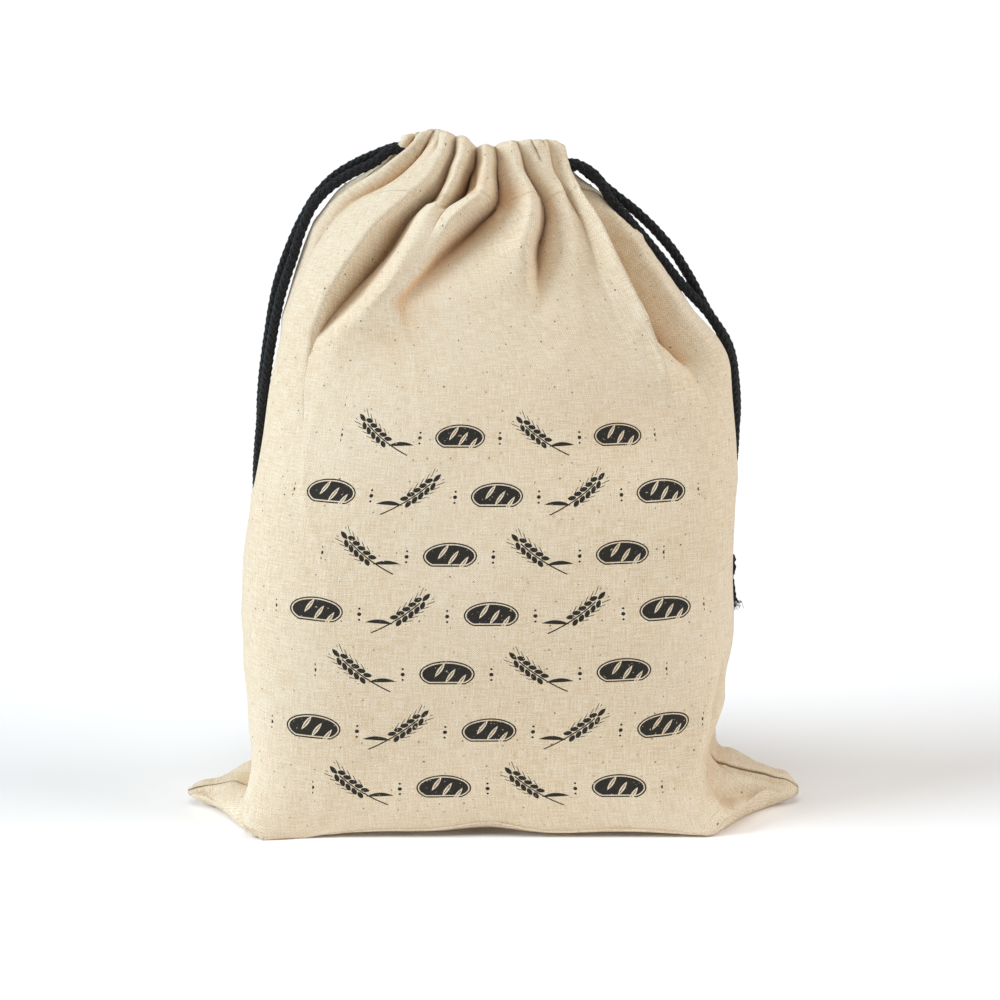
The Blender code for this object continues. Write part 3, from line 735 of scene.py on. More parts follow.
# The two ears at the base: where the ear starts and ends along X, how far its tip swings back and
# lifts, and how far its front edge turns up, in degrees
Ear = namedtuple("Ear", "root tip swing lift turn_up")
EARS = [
    Ear(-112, -152, -5.0, 0.3, 5.0),
    Ear(106, 146, -2.0, 0.0, 6.0),
]
EAR_TOP_UP = 60 * MM
EAR_BEND = 3 * MM
FREE_HEIGHT = 6 * MM
FLOOR_SINK = 1.2 * MM
print("swells:", len(SWELLS), "ears:", len(EARS))

# %% Reading the tables
def eased(share):
    """A share from 0 to 1 with a soft start and end."""
    return share ** 2 * (3 - 2 * share)


def smooth_between(stations, values, place):
    """A smooth curve through the values at the stations, without overshoot, read at a place."""
    steps = np.diff(stations)
    slopes = np.diff(values) / steps
    tangents = np.zeros(len(values))
    tangents[0] = slopes[0]
    tangents[-1] = slopes[-1]
    for i in range(1, len(values) - 1):
        if slopes[i - 1] * slopes[i] > 0:
            before = 2 * steps[i] + steps[i - 1]
            after = steps[i] + 2 * steps[i - 1]
            tangents[i] = (before + after) / (before / slopes[i - 1] + after / slopes[i])
    place = np.clip(place, stations[0], stations[-1])
    i = np.clip(np.searchsorted(stations, place, side="right") - 1, 0, len(steps) - 1)
    t = (place - stations[i]) / steps[i]
    start = (1 + 2 * t) * (1 - t) ** 2 * values[i] + t * (1 - t) ** 2 * steps[i] * tangents[i]
    end = t * t * (3 - 2 * t) * values[i + 1] + t * t * (t - 1) * steps[i] * tangents[i + 1]
    return start + end


def section_value(name, up):
    """One column of the section table, in metres, at a height up the cloth."""
    unit = 1.0 if name == "square" else MM
    heights = np.array([row.up for row in SECTIONS]) * MM
    values = np.array([getattr(row, name) for row in SECTIONS]) * unit
    return smooth_between(heights, values, up)


print("half width at 200 mm up:", round(section_value("half_width", 0.2) / MM, 1))

# %% The shape without its folds
OUTLINE_POINTS = 97
SIDEWAYS_SHARE = 0.5


def quarter_outline(up, depth_name):
    """Points and running length of one quarter of the outline, from the seam to the panel's middle."""
    turn = np.linspace(0.0, np.pi / 2, OUTLINE_POINTS)
    square = section_value("square", up)
    radius = (np.cos(turn) ** square + np.sin(turn) ** square) ** (-1 / square)
    x = section_value("half_width", up) * radius * np.cos(turn)
    y = section_value(depth_name, up) * radius * np.sin(turn)
    return x, y, running_length(np.column_stack([x, y]))


def wrap(across):
    """The same place on the girth, between minus and plus half of it."""
    return (across + GIRTH / 2) % GIRTH - GIRTH / 2


def plain_ring(across, up):
    """The bag's shape without its folds: one ring of the cloth, at one height up it."""
    across = wrap(across)
    on_front = np.abs(across) <= HALF_WIDTH
    share = np.abs(np.abs(across) - HALF_WIDTH) / HALF_WIDTH
    points = np.zeros((len(across), 3))
    for on_panel, depth_name, facing in ((on_front, "front", -1), (~on_front, "back", 1)):
        x, y, length = quarter_outline(up, depth_name)
        along = share[on_panel] * length[-1]
        side = np.where(across[on_panel] < 0, -1, 1)
        depth = np.interp(along, length, y)
        rise = 1 - (depth / y[-1]) ** 2
        low = section_value("z_front", up)
        high = section_value("z_side", up)
        points[on_panel, 0] = section_value("centre", up) + side * np.interp(along, length, x)
        points[on_panel, 1] = facing * depth
        points[on_panel, 2] = low + (high - low) * rise
    return points


def outward(across, up):
    """Unit normals of the unfolded bag, pointing outwards."""
    step = 0.5 * MM
    low = max(up - step, SECTIONS[0].up * MM)
    high = min(up + step, FLAT_HEIGHT)
    round_bag = plain_ring(across + step, up) - plain_ring(across - step, up)
    up_bag = plain_ring(across, high) - plain_ring(across, low)
    normals = np.cross(round_bag, up_bag)
    normals[:, 0] *= SIDEWAYS_SHARE
    return normals / np.linalg.norm(normals, axis=1, keepdims=True)


print("helpers: plain_ring, outward")

# %% [markdown]
# ## Folds
#
# Real gathers don't look like waves. Their crests are round and wide, because the cloth bulges, and
# their troughs are narrow slits, because the cord presses the crests together. So towards the mouth
# the slope between trough and crest rises faster, and the troughs go deeper than the solid's do.

# %% Folds
FRONT_COLUMNS = 208
BACK_COLUMNS = 120
COLUMNS_ROUND = FRONT_COLUMNS + BACK_COLUMNS
BACK_TROUGH_CREASE = 1.0
BACK_CREST_CREASE = 0.3

# How creased each front fold is: 0 is a round bend, 1 a straight-sided one and more is a sharp crease
FOLD_CREASES = {
    "left end trough": 0.6, "left end crest": 0.3, "tab trough": 1.0, "tab crest": 0.3,
    "left shoulder trough": 0.9, "left shoulder ridge": 1.2, "long left trough": 0.9,
    "pillow ridge": 0.4, "slit": 1.0, "crossing ridge": 0.8, "middle trough": 1.1, "flap ridge": 1.6,
    "right trough": 1.2, "fan ridge": 0.3, "right hollow": 0.8, "right front edge": 1.9,
    "right side trough": 1.0, "right seam ridge": 0.8,
}


def fold_stops():
    """Every fold's stops from its foot to the mouth, in order round the girth."""
    folds = list(FRONT_FOLDS.values())
    for fold in BACK_FOLDS:
        mouth_out = MOUTH_OUT if fold.out > 0 else -MOUTH_OUT
        middle = (fold.across_top + fold.across_foot) / 2
        folds.append([
            Stop(400, fold.across_top, mouth_out), Stop(BACK_STRONGEST_UP, middle, fold.out),
            Stop(fold.foot, fold.across_foot, fold.out / 4),
        ])
    even_step = GIRTH / MM / len(folds)
    lines = []
    for k, stops in enumerate(folds):
        even = Stop(EVEN_UP, -HALF_WIDTH / MM + k * even_step, 0.0)
        foot = stops[-1]
        nearer_even = (foot.up - FADE) / foot.up
        gone = Stop(foot.up - FADE, even.across + (foot.across - even.across) * nearer_even, 0.0)
        lines.append([even, gone] + stops[::-1])
    return lines


FOLD_LINES = fold_stops()
BACK_CREASES = [BACK_CREST_CREASE if fold.out > 0 else BACK_TROUGH_CREASE for fold in BACK_FOLDS]
CREASES = np.array(list(FOLD_CREASES.values()) + BACK_CREASES)
CREASES = np.append(CREASES, CREASES[0])


def fold_places(up):
    """Where the folds are at one height and how far they stand out, with the first one again at the end."""
    places = []
    for stops in FOLD_LINES:
        ups = np.array([stop.up for stop in stops]) * MM
        places.append([
            smooth_between(ups, np.array([getattr(stop, name) for stop in stops]) * MM, up)
            for name in ("across", "out")
        ])
    places.append([places[0][0] + GIRTH, places[0][1]])
    return np.array(places).T


def corner_places(up):
    """The seams and the outline's four corners, round the girth from the left seam back to it."""
    front, back = (
        HALF_WIDTH * length[len(length) // 2] / length[-1]
        for _, _, length in (quarter_outline(up, "front"), quarter_outline(up, "back"))
    )
    from_seam = [0, front, FLAT_WIDTH - front, FLAT_WIDTH, FLAT_WIDTH + back, GIRTH - back, GIRTH]
    return np.array(from_seam) - HALF_WIDTH


def columns_at(up):
    """The places of the sheet's columns, which follow the folds and, at the base, the corners."""
    across, _ = fold_places(up)
    folds = [0, len(FRONT_FOLDS), len(across) - 1]
    columns = [0, FRONT_COLUMNS, COLUMNS_ROUND]
    fold = np.interp(np.arange(COLUMNS_ROUND), columns, folds)
    places = np.interp(fold, np.arange(len(across)), across)
    if up < BASE_UP:
        places = np.interp(places, corner_places(BASE_UP), corner_places(up))
    return places


print("columns at the mouth, mm apart:", round(np.diff(columns_at(FLAT_HEIGHT)).mean() / MM, 2))

# %% Relief of the folds
SLIT_FROM_UP = 0.325
SLIT_SHARPNESS = 1.3
SLIT_DEEPER = 0.9


def fold_relief(across, up):
    """How far the folds stand in and out at one height."""
    places, out = fold_places(up)
    place = (across - places[0]) % GIRTH + places[0]
    left = np.clip(np.searchsorted(places, place, side="right") - 1, 0, len(places) - 2)
    share = (place - places[left]) / (places[left + 1] - places[left])
    start_slope = CREASES[left] * share * (1 - share) ** 2
    end_slope = CREASES[left + 1] * share ** 2 * (1 - share)
    blend = eased(share) + start_slope - end_slope
    rises = out[left + 1] > out[left]
    to_crest = np.where(rises, blend, 1 - blend)
    near_mouth = np.clip((up - SLIT_FROM_UP) / (FLAT_HEIGHT - SLIT_FROM_UP), 0, 1)
    to_crest = to_crest ** (1 / (1 + SLIT_SHARPNESS * near_mouth))
    low = np.minimum(out[left], out[left + 1])
    high = np.maximum(out[left], out[left + 1])
    low = np.where(low < 0, low * (1 + SLIT_DEEPER * near_mouth), low)
    return low + (high - low) * to_crest


mouth_relief = fold_relief(columns_at(FLAT_HEIGHT), FLAT_HEIGHT) / MM
print("folds at the mouth from", round(mouth_relief.min(), 1), "to", round(mouth_relief.max(), 1), "mm")

# %% Rim and creases
# How far the rim stands above the solid's, place by place round the girth
RimStop = namedtuple("RimStop", "across rise")
RIM = table(RimStop, [
    (-150, 1.0), (-137, 2.5), (-124, 5.0), (-98, 6.5), (-85, 9.0), (-70, 8.8), (-56, 7.5), (-43, 6.6),
    (-30, 6.0), (-19, 3.4), (-8, 2.2), (4, 2.2), (16, 2.0), (31, 3.7), (60, 4.0), (80, 4.0), (97, 3.0),
    (111, 3.0), (125, 1.4), (134, -1.8), (150, -2.4), (180, -3.5), (215, -5.5), (240, -4.5), (270, -7.0),
    (300, -5.8), (330, -7.0), (360, -5.0), (400, -4.0), (430, -1.0), (450, 1.0),
])
RIM_REACH = 16 * MM

# Single creases: a line of places (across, up), how deep it is, and how far it reaches to the left and
# to the right of its direction. A depth below zero is a valley.
Crease = namedtuple("Crease", "places depth left_reach right_reach")
SINGLE_CREASES = {
    "above the pillow": Crease([(-52, 375), (-42, 375), (-31, 372), (-18, 369)], -4.5, 8, 3.5),
    "beside the slit": Crease([(-5, 399), (-7, 393), (3, 385), (11, 375)], -4.0, 3.5, 3.5),
    "first slit on the right": Crease([(76, 402), (82, 398), (90, 394), (97, 390)], -3.5, 3, 4),
    "second slit on the right": Crease([(95, 402), (100, 397), (106, 392)], -2.5, 3, 3),
    "tab hollow": Crease([(-124, 401), (-112, 397), (-101, 393)], -5.0, 7, 8),
    "left end of the casing": Crease([(-70, 402), (-67, 394), (-70, 386)], -2.5, 4, 5),
    "left ear roll": Crease([(-149, 4), (-147, 12), (-143, 22)], -3.0, 3.5, 5),
    "left ear seam": Crease([(-150, 26), (-150, 48), (-150, 78)], -5.0, 9, 14),
    "right ear seam": Crease([(148, 12), (148, 30), (148, 62)], -5.0, 11, 4),
    "right ear hollow": Crease([(110, 56), (122, 42), (136, 24), (142, 14)], -6.5, 9, 13),
    "right corner": Crease([(117, 128), (111, 108), (107, 88), (103, 70), (104, 56)], -5.0, 16, 7),
    "beside the right corner": Crease([(92, 112), (92, 84), (88, 58)], -1.8, 14, 12),
    "low on the left": Crease([(-122, 118), (-112, 84), (-104, 50)], -1.6, 16, 10),
}
CREASE_END = 7.0
CREASE_SHARPNESS = 1.6
LEFT_AT_END = 0.15
print("stops of the rim:", len(RIM), "creases:", len(SINGLE_CREASES))

# %% Tops of the ears
# The ears' top layers stand up from the table: where the seam is, how high, how far from the seam as a
# share of the base's depth, how soft that edge is, between which heights up the cloth the layer stands
# and over how many millimetres it fades below the upper one
Puff = namedtuple("Puff", "seam height width edge from_up top_up fade")
PUFFS = [
    Puff(150, 8.0, 0.9, 9.0, 2.0, 64, 30),
    Puff(-150, 3.0, 0.6, 14.0, -8.0, 50, 26),
]
PUFF_STARTS_IN = 18.0 * MM
print("puffs:", len(PUFFS))

# %% Swells, rim and creases at a place
def swell_amount(swell, across, up):
    """A soft round patch, 1 in its middle and 0 far from it."""
    sideways = wrap(across - swell.across * MM) / (swell.reach_across * MM)
    upwards = (up - swell.up * MM) / (swell.reach_up * MM)
    return np.exp(-(sideways ** 2) - upwards ** 2)


def rim_rise(across, up):
    """How far the cloth is drawn up near the rim."""
    stops = [stop.across * MM for stop in RIM]
    rises = [stop.rise * MM for stop in RIM]
    place = (across - stops[0]) % GIRTH + stops[0]
    return np.interp(place, stops, rises) * np.exp(-(((FLAT_HEIGHT - up) / RIM_REACH) ** 2))


def crease_relief(crease, across, up):
    """How far one single crease moves the cloth, at one height."""
    line = np.array(crease.places, float)
    steps = np.diff(line, axis=0)
    lengths = np.linalg.norm(steps, axis=1)
    so_far = np.concatenate([[0.0], np.cumsum(lengths)])
    middle = line[:, 0].mean() * MM
    place = np.column_stack([line[:, 0].mean() + wrap(across - middle) / MM, np.full(len(across), up / MM)])
    nearest = np.full(len(across), np.inf)
    left_of_it = np.zeros(len(across), bool)
    along = np.zeros(len(across))
    for start, step, length, before in zip(line, steps, lengths, so_far):
        share = np.clip((place - start) @ step / length ** 2, 0, 1)
        apart = place - start - share[:, None] * step
        distance = np.linalg.norm(apart, axis=1)
        nearer = distance < nearest
        nearest = np.where(nearer, distance, nearest)
        left_of_it = np.where(nearer, step[0] * apart[:, 1] - step[1] * apart[:, 0] > 0, left_of_it)
        along = np.where(nearer, before + share * length, along)
    reach = np.where(left_of_it, crease.left_reach, crease.right_reach)
    to_end = np.clip(np.minimum(along, so_far[-1] - along) / CREASE_END, 0, 1)
    slope = np.clip(1 - nearest / reach, 0, 1)
    strength = LEFT_AT_END + (1 - LEFT_AT_END) * to_end
    return crease.depth * MM * slope ** CREASE_SHARPNESS * strength


print("helpers: swell_amount, rim_rise, crease_relief")

# %% Ears at a place
# How far past its tip, as a share of its length, an ear goes on to swing
PAST_TIP = 1.2


def swing_ears(points, up):
    """Swing and lift the two ears at the base and turn up their front edges."""
    near_base = np.clip(1 - (up - BASE_UP) / EAR_TOP_UP, 0, 1)
    for ear in EARS:
        share = (points[:, 0] / MM - ear.root) / (ear.tip - ear.root)
        share = np.clip(share, 0, PAST_TIP) * near_base
        angle = np.radians(ear.turn_up) * share ** 2
        to_front = (np.sqrt(points[:, 1] ** 2 + EAR_BEND ** 2) - points[:, 1]) / 2
        points[:, 1] += to_front * (1 - np.cos(angle)) + ear.swing * MM * share
        points[:, 2] += to_front * np.sin(angle) + ear.lift * MM * share ** 2
    return points


def ear_puff(across, up):
    """How far the top layer of an ear stands up from the layer on the table."""
    lift = np.zeros(len(across))
    corner = section_value("front", up)
    for puff in PUFFS:
        from_seam = np.abs(wrap(across - puff.seam * MM))
        near = np.clip(1 - (from_seam - corner * puff.width) / (puff.edge * MM), 0, 1)
        low = np.clip((puff.top_up * MM - up) / (puff.fade * MM), 0, 1)
        off_tip = np.clip((up - puff.from_up * MM) / PUFF_STARTS_IN, 0, 1)
        lift += puff.height * MM * eased(near) * eased(low) * off_tip
    return lift


print("helpers: swing_ears, ear_puff")

# %% Rows of the cloth
# Cloth that lies on the table can't move, and this power keeps that so until just below the base's edge
FREED_BY = 8


def bag_ring(across, up):
    """One ring of the middle of the cloth with its main folds."""
    points = plain_ring(across, up)
    relief = fold_relief(across, up)
    points[:, 2] += rim_rise(across, up) + ear_puff(across, up)
    for swell in SWELLS.values():
        amount = swell_amount(swell, across, up)
        relief += swell.outwards * MM * amount
        points[:, 2] += swell.lift * MM * amount
    for crease in SINGLE_CREASES.values():
        relief += crease_relief(crease, across, up)
    free_of_floor = np.clip(points[:, 2] / FREE_HEIGHT, min(up / BASE_UP, 1) ** FREED_BY, 1)
    points += outward(across, up) * (relief * free_of_floor)[:, None]
    points = swing_ears(points, up)
    points[:, 2] = np.maximum(points[:, 2] - FLOOR_SINK, 0) + CLOTH_THICKNESS / 2
    return points + BAG_SHIFT


# How many rows there are from one height up the cloth to another, in millimetres
ROW_STEPS = [(5.5, 40, 16), (40, 62, 8), (62, 240, 36), (240, 400, 64)]
row_ups = np.concatenate([
    np.linspace(start, end, count, endpoint=False) for start, end, count in ROW_STEPS
] + [[400.0]]) * MM
row_across = np.array([columns_at(up) for up in row_ups])
row_points = np.array([bag_ring(across, up) for across, up in zip(row_across, row_ups)])
print("rows:", len(row_ups), "columns:", COLUMNS_ROUND)

# %% [markdown]
# ## Small wrinkles
#
# Filled cotton is never quite smooth. Between the big folds it has shallow dents a few centimetres
# wide, and handling leaves soft ridges. Both come from smooth noise at the points' own places, moved
# along the cloth's normals: broad dents everywhere, and thin ridges where the noise crosses zero,
# strongest at the sides, at the ears and below the mouth.

# %% Small wrinkles
DENT_SIZE = 0.045
DENT_DEPTH = 1.1 * MM
RIDGE_SIZE = 0.038
RIDGE_HEIGHT = 0.9 * MM
RIDGE_NARROWNESS = 5
RIDGE_STRETCH = (1.0, 1.0, 0.55)
NOISE_OFFSET = Vector((3.1, 7.7, 1.9))
CALM_REACH = 0.085
CALM_SHARE = 0.65
PRESSED_BELOW = 2.5 * MM
PRESSED_FADE = 8 * MM


def sheet_normals(points):
    """Unit normals of a sheet of points that is closed round its columns."""
    round_bag = np.roll(points, -1, axis=1) - np.roll(points, 1, axis=1)
    up_bag = np.gradient(points, axis=0)
    normals = np.cross(round_bag, up_bag)
    return normals / np.maximum(np.linalg.norm(normals, axis=2, keepdims=True), 1e-12)


def noise_over(points, size, stretch=(1.0, 1.0, 1.0)):
    """Smooth noise between about -1 and 1 at every point."""
    scaled = points.reshape(-1, 3) / size * np.array(stretch)
    values = [noise.noise(Vector(place) + NOISE_OFFSET) for place in scaled]
    return np.array(values).reshape(points.shape[:2])


from_middle = wrap(row_across)
front_middle = np.exp(-((from_middle / CALM_REACH) ** 2)) * (np.abs(from_middle) < HALF_WIDTH)
calm = 1 - CALM_SHARE * front_middle
off_floor = np.clip((row_points[:, :, 2] - PRESSED_BELOW) / PRESSED_FADE, 0, 1)
dents = noise_over(row_points, DENT_SIZE) * DENT_DEPTH
crossing = noise_over(row_points, RIDGE_SIZE, RIDGE_STRETCH)
ridges = np.clip(1 - np.abs(crossing) * RIDGE_NARROWNESS, 0, 1) ** 2 * RIDGE_HEIGHT
lift = (dents + ridges) * calm * off_floor
row_points = row_points + sheet_normals(row_points) * lift[:, :, None]
print("wrinkles from", round(lift.min() / MM, 2), "to", round(lift.max() / MM, 2), "mm")

# %% [markdown]
# ## Where the cords press
#
# A cord that lies on a filled bag sinks into the cloth a little. Every point of the cloth that is
# nearer to a cord's middle than the cord and cloth are thick moves straight away from it.

# %% Room for the cords
PRESS_GAP = 0.15 * MM
PRESS_DISTANCE = CORD_DIAMETER / 2 + CLOTH_THICKNESS / 2 + PRESS_GAP
POINTS_IN_CASING = 4


def press_cords_in(points):
    """Move the cloth off the cords' routes, except where they come out of the casing."""
    moved = 0
    flat = points.reshape(-1, 3)
    for name, path in cord_paths.items():
        outside = path[POINTS_IN_CASING:]
        tree = KDTree(len(outside))
        for i, place in enumerate(outside):
            tree.insert(place, i)
        tree.balance()
        for i, place in enumerate(flat):
            near, _, distance = tree.find(place)
            if distance < PRESS_DISTANCE:
                flat[i] += (place - np.array(near)) / distance * (PRESS_DISTANCE - distance)
                moved += 1
    return moved


print("points pressed in by the cords:", press_cords_in(row_points))

# %% [markdown]
# ## How deep in a fold a place is
#
# Light that falls into a fold bounces from cloth to cloth, and each bounce makes it darker and more
# orange. The material paints that shade into the cloth's colour, and for that every point of the cloth
# keeps a number: how far it lies below a smoothed copy of the cloth, from 0 on open cloth to 1 deep in
# a fold. Near the base the hollows are wide and open to the pale floor, so the number, and the painted
# shade, count for little there.

# %% Depth in the folds
SMOOTHING_STEPS = 70
SOFTENING_STEPS = 8
DEEPEST = 5.0 * MM
LEAST_AT_BASE = 0.5
FULL_FROM_UP = 0.16


def depth_in_folds(points):
    """0 on open cloth and 1 deep in a fold, for every point."""
    smooth = points.copy()
    for _ in range(SMOOTHING_STEPS):
        smooth = (2 * smooth + np.roll(smooth, 1, axis=1) + np.roll(smooth, -1, axis=1)) / 4
        smooth[1:-1] = (2 * smooth[1:-1] + smooth[:-2] + smooth[2:]) / 4
    below = np.einsum("rci,rci->rc", smooth - points, sheet_normals(points))
    depth = np.clip(below / DEEPEST, 0, 1)
    for _ in range(SOFTENING_STEPS):
        depth = (2 * depth + np.roll(depth, 1, axis=1) + np.roll(depth, -1, axis=1)) / 4
    return depth * np.clip(row_ups / FULL_FROM_UP, LEAST_AT_BASE, 1)[:, None] ** 2


row_depths = depth_in_folds(row_points)
print("share of the cloth deep in folds:", round(float((row_depths > 0.5).mean()), 3))

# %% [markdown]
# ## Hem and cloth thickness
#
# The casing is the cloth folded inwards at the mouth, so the rim is a soft fold and not a cut edge.
# The sheet goes over the rim and 24 mm down inside. Solidify then gives all of it the thickness of
# cotton cloth. The UV map holds the place on the flat cloth in metres, so the weave and the print
# follow the cloth and not the space round it.

# %% Hem
HEM_DOWN = [(0.6, 0.7), (1.8, 1.25), (5.0, 1.35), (10.0, 1.35), (16.0, 1.35), (24.0, 1.35)]


def hem_rows(points, ups):
    """Rows of the inner layer, from the rim down: how far down, and how far inwards."""
    normals = sheet_normals(points)
    rows = []
    for down, inwards in HEM_DOWN:
        up = FLAT_HEIGHT - down * MM
        upper = np.searchsorted(ups, up)
        share = (up - ups[upper - 1]) / (ups[upper] - ups[upper - 1])
        place = points[upper - 1] * (1 - share) + points[upper] * share
        normal = normals[upper - 1] * (1 - share) + normals[upper] * share
        rows.append(place - normal * inwards * MM)
    return rows


all_rows = list(row_points) + hem_rows(row_points, row_ups)
all_ups = list(row_ups) + [FLAT_HEIGHT + down * MM for down, _ in HEM_DOWN]
all_across = list(row_across) + [row_across[-1]] * len(HEM_DOWN)
print("rows with the hem:", len(all_rows))

# %% The sheet
def bag_sheet():
    """The cloth as one sheet, closed along the bottom fold, with its place on the flat cloth as UV."""
    sheet = bmesh.new()
    cloth_map = sheet.loops.layers.uv.new("cloth")
    rings = [[sheet.verts.new(point) for point in row] for row in all_rows]
    half = COLUMNS_ROUND // 2

    def face(corners, places):
        made = sheet.faces.new(corners)
        made.smooth = True
        for loop, place in zip(made.loops, places):
            loop[cloth_map].uv = place

    for r in range(len(rings) - 1):
        for i in range(COLUMNS_ROUND):
            j = (i + 1) % COLUMNS_ROUND
            once_round = GIRTH if j == 0 else 0.0
            corners = (rings[r][i], rings[r][j], rings[r + 1][j], rings[r + 1][i])
            across = (all_across[r][i], all_across[r][j] + once_round,
                      all_across[r + 1][j] + once_round, all_across[r + 1][i])
            ups = (all_ups[r], all_ups[r], all_ups[r + 1], all_ups[r + 1])
            face(corners, list(zip(across, ups)))
    low = all_ups[0]
    for i in range(half):
        across_from_next = (-i - 1) % COLUMNS_ROUND if i + 1 < half else half
        columns = (i + 1, i, -i % COLUMNS_ROUND, across_from_next)
        corners = [rings[0][column] for column in columns]
        start, end = all_across[0][i], all_across[0][i + 1]
        places = [(end, low), (start, low), (start, -low), (end, -low)]
        if corners[1] is corners[2]:
            face([corners[0], corners[1], corners[3]], [places[0], places[1], places[3]])
        elif corners[0] is corners[3]:
            face(corners[:3], places[:3])
        else:
            face(corners, places)
    mesh = bpy.data.meshes.new("bag_cloth")
    sheet.to_mesh(mesh)
    sheet.free()
    # How deep in a fold each point is, which the cotton uses for its painted shade
    depths = np.concatenate([row_depths.ravel(), np.tile(row_depths[-1], len(HEM_DOWN))])
    attribute = mesh.attributes.new("fold depth", "FLOAT", "POINT")
    attribute.data.foreach_set("value", depths.astype(np.float32))
    return mesh


cloth_mesh = bag_sheet()
print("sheet faces:", len(cloth_mesh.polygons))

# %% [markdown]
# ## Unbleached cotton
#
# The cloth is a plain weave of threads a little over half a millimetre apart. From near it shows
# single threads, some thicker than others, and dark flecks of cotton seed. From far it shows faint
# streaks both ways and a cream colour that wanders. All of it reads the UV map, whose unit is a metre
# of flat cloth. Deep in the folds, shade is painted into the colour from the sheet's fold depth.

# %% Weave
THREAD_STEP = 0.55 * MM
CREAM = (0.84, 0.70, 0.50, 1.0)
PALE_CREAM = (0.93, 0.83, 0.67, 1.0)
WARM_CREAM = (0.72, 0.55, 0.34, 1.0)
GAP_TAN = (0.40, 0.27, 0.145, 1.0)
FLECK_BROWN = (0.13, 0.07, 0.035, 1.0)
HUSK_TAN = (0.48, 0.32, 0.17, 1.0)
# Painted shade: the colour that places deep in folds are multiplied by
PAINTED_FOLD_SHADE = (0.90, 0.64, 0.42, 1.0)
SEAM_BROWN = (0.13, 0.065, 0.03, 1.0)
INK = (0.006, 0.005, 0.0035, 1.0)
SEAM_LINE = 0.28 * MM
SEAM_SHOWS_UP_TO = 82.0
FLECK_BEND_SCALE = 900.0
FLECK_BEND = 0.7 * MM
FLECK_EDGE = (0.6, 1.2)

# Husks and seeds: the cell that holds one, its radius, in what share of the cells, and how strong it is
Flecks = namedtuple("Flecks", "cell smallest largest share strength colour")
FLECKS = [
    Flecks(11 * MM, 0.35 * MM, 0.75 * MM, 0.55, 0.6, HUSK_TAN),
    Flecks(12 * MM, 0.20 * MM, 0.50 * MM, 0.65, 0.9, FLECK_BROWN),
]


def stretched_noise(bench, across, up, thread_width, thread_length, detail):
    """Noise that runs in streaks along the threads of one direction."""
    place = bench.vector(across / thread_width, up / thread_length)
    return bench.noise_at(place, 1.0, detail, 0.6, "2D")


def flecks(bench, place, kind):
    """Small spots strewn over the cloth, in a share of the cells."""
    shifted = bench.noise_at(place, FLECK_BEND_SCALE, 1.0, dimensions="2D", output="Color")
    moved = bench.vector_maths("ADD", place, bench.scaled(shifted, FLECK_BEND))
    spots = {"Vector": moved, "Scale": 1 / kind.cell}
    distance = bench.node("ShaderNodeTexVoronoi", {"voronoi_dimensions": "2D"}, spots, "Distance")
    chance = bench.node("ShaderNodeSeparateColor", {}, {0: distance.neighbour("Color")}, "Red")
    luck = chance.neighbour("Green")
    radius = (kind.smallest + luck * (kind.largest - kind.smallest)) / kind.cell
    inside = 1 - bench.smooth_step(distance / radius, *FLECK_EDGE)
    return inside * (chance < kind.share)


print("helpers: stretched_noise, flecks")

# %% [markdown]
# ## A stamped pattern
#
# The cloth is printed in black. The pattern here is a plain one of the same scale and colour: ears of
# wheat and small scored loaves in staggered rows. A shape is a mask, 1 inside and 0 outside, of simple
# formulas in millimetres, and the pattern repeats because the place on the cloth is taken modulo the
# size of a cell.

# %% Simple shapes
def oval(x, y, half_wide, half_high):
    """1 inside an oval round the origin and 0 outside."""
    u = x / half_wide
    v = y / half_high
    return (u * u + v * v) < 1.0


def pointed(x, y, half_wide, half_high):
    """1 inside a shape with rounded sides and a point at each end, as a grain has."""
    v = y / half_high
    return abs(x) < (1 - v * v) * half_wide


def between(value, low, high):
    return (value > low) * (value < high)


def seen_turned(x, y, degrees):
    """The same place as seen from axes turned by an angle."""
    c = float(np.cos(np.radians(degrees)))
    s = float(np.sin(np.radians(degrees)))
    return x * c + y * s, y * c - x * s


def largest(bench, first, *others):
    for other in others:
        first = bench.maths("MAXIMUM", first, other)
    return first


print("helpers: oval, pointed, between, seen_turned, largest")

# %% Motifs
# Everything here is in millimetres, but the turns, which are in degrees
CELL_WIDE = 40.0
CELL_HIGH = 30.0
PRINT_FROM_UP = 53.0
PRINT_ROWS = 7
PRINT_HALF_WIDE = 92.0
GRAIN_STEP = 3.5
CUT_STEP = 5.6
EAR_LEAN = 52
STALK_HALF = 0.32
BRISTLE_HALF = 0.42
RIB_HALF = 0.16


def wheat_ear(bench, x, y):
    """An ear of wheat 36 mm long: a bent stalk, grains in pairs with bristles, and one leaf."""
    bend = x - y * y * 0.006
    side = abs(bend)
    stalk = (side < STALK_HALF) * between(y, -17.0, 10.0)
    step = bench.maths("MODULO", y + 30.0, GRAIN_STEP) - GRAIN_STEP / 2
    u, v = seen_turned(side - 1.75, step, 24)
    grains = pointed(u, v, 1.15, 2.3) * between(y, -5.5, 12.0)
    top = pointed(bend, y - 14.0, 1.15, 2.6)
    slant = bench.maths("MODULO", y - side * 2.2 + 62.0, GRAIN_STEP) - GRAIN_STEP / 2
    bristles = (abs(slant) < BRISTLE_HALF) * between(side, 2.6, 4.4) * between(y, -2.0, 16.5)
    leaf_x, leaf_y = seen_turned(bend - 3.4, y + 10.5, 36)
    leaf = pointed(leaf_x + leaf_y * leaf_y * 0.03, leaf_y, 1.1, 6.0)
    return largest(bench, stalk, grains, top, bristles, leaf)


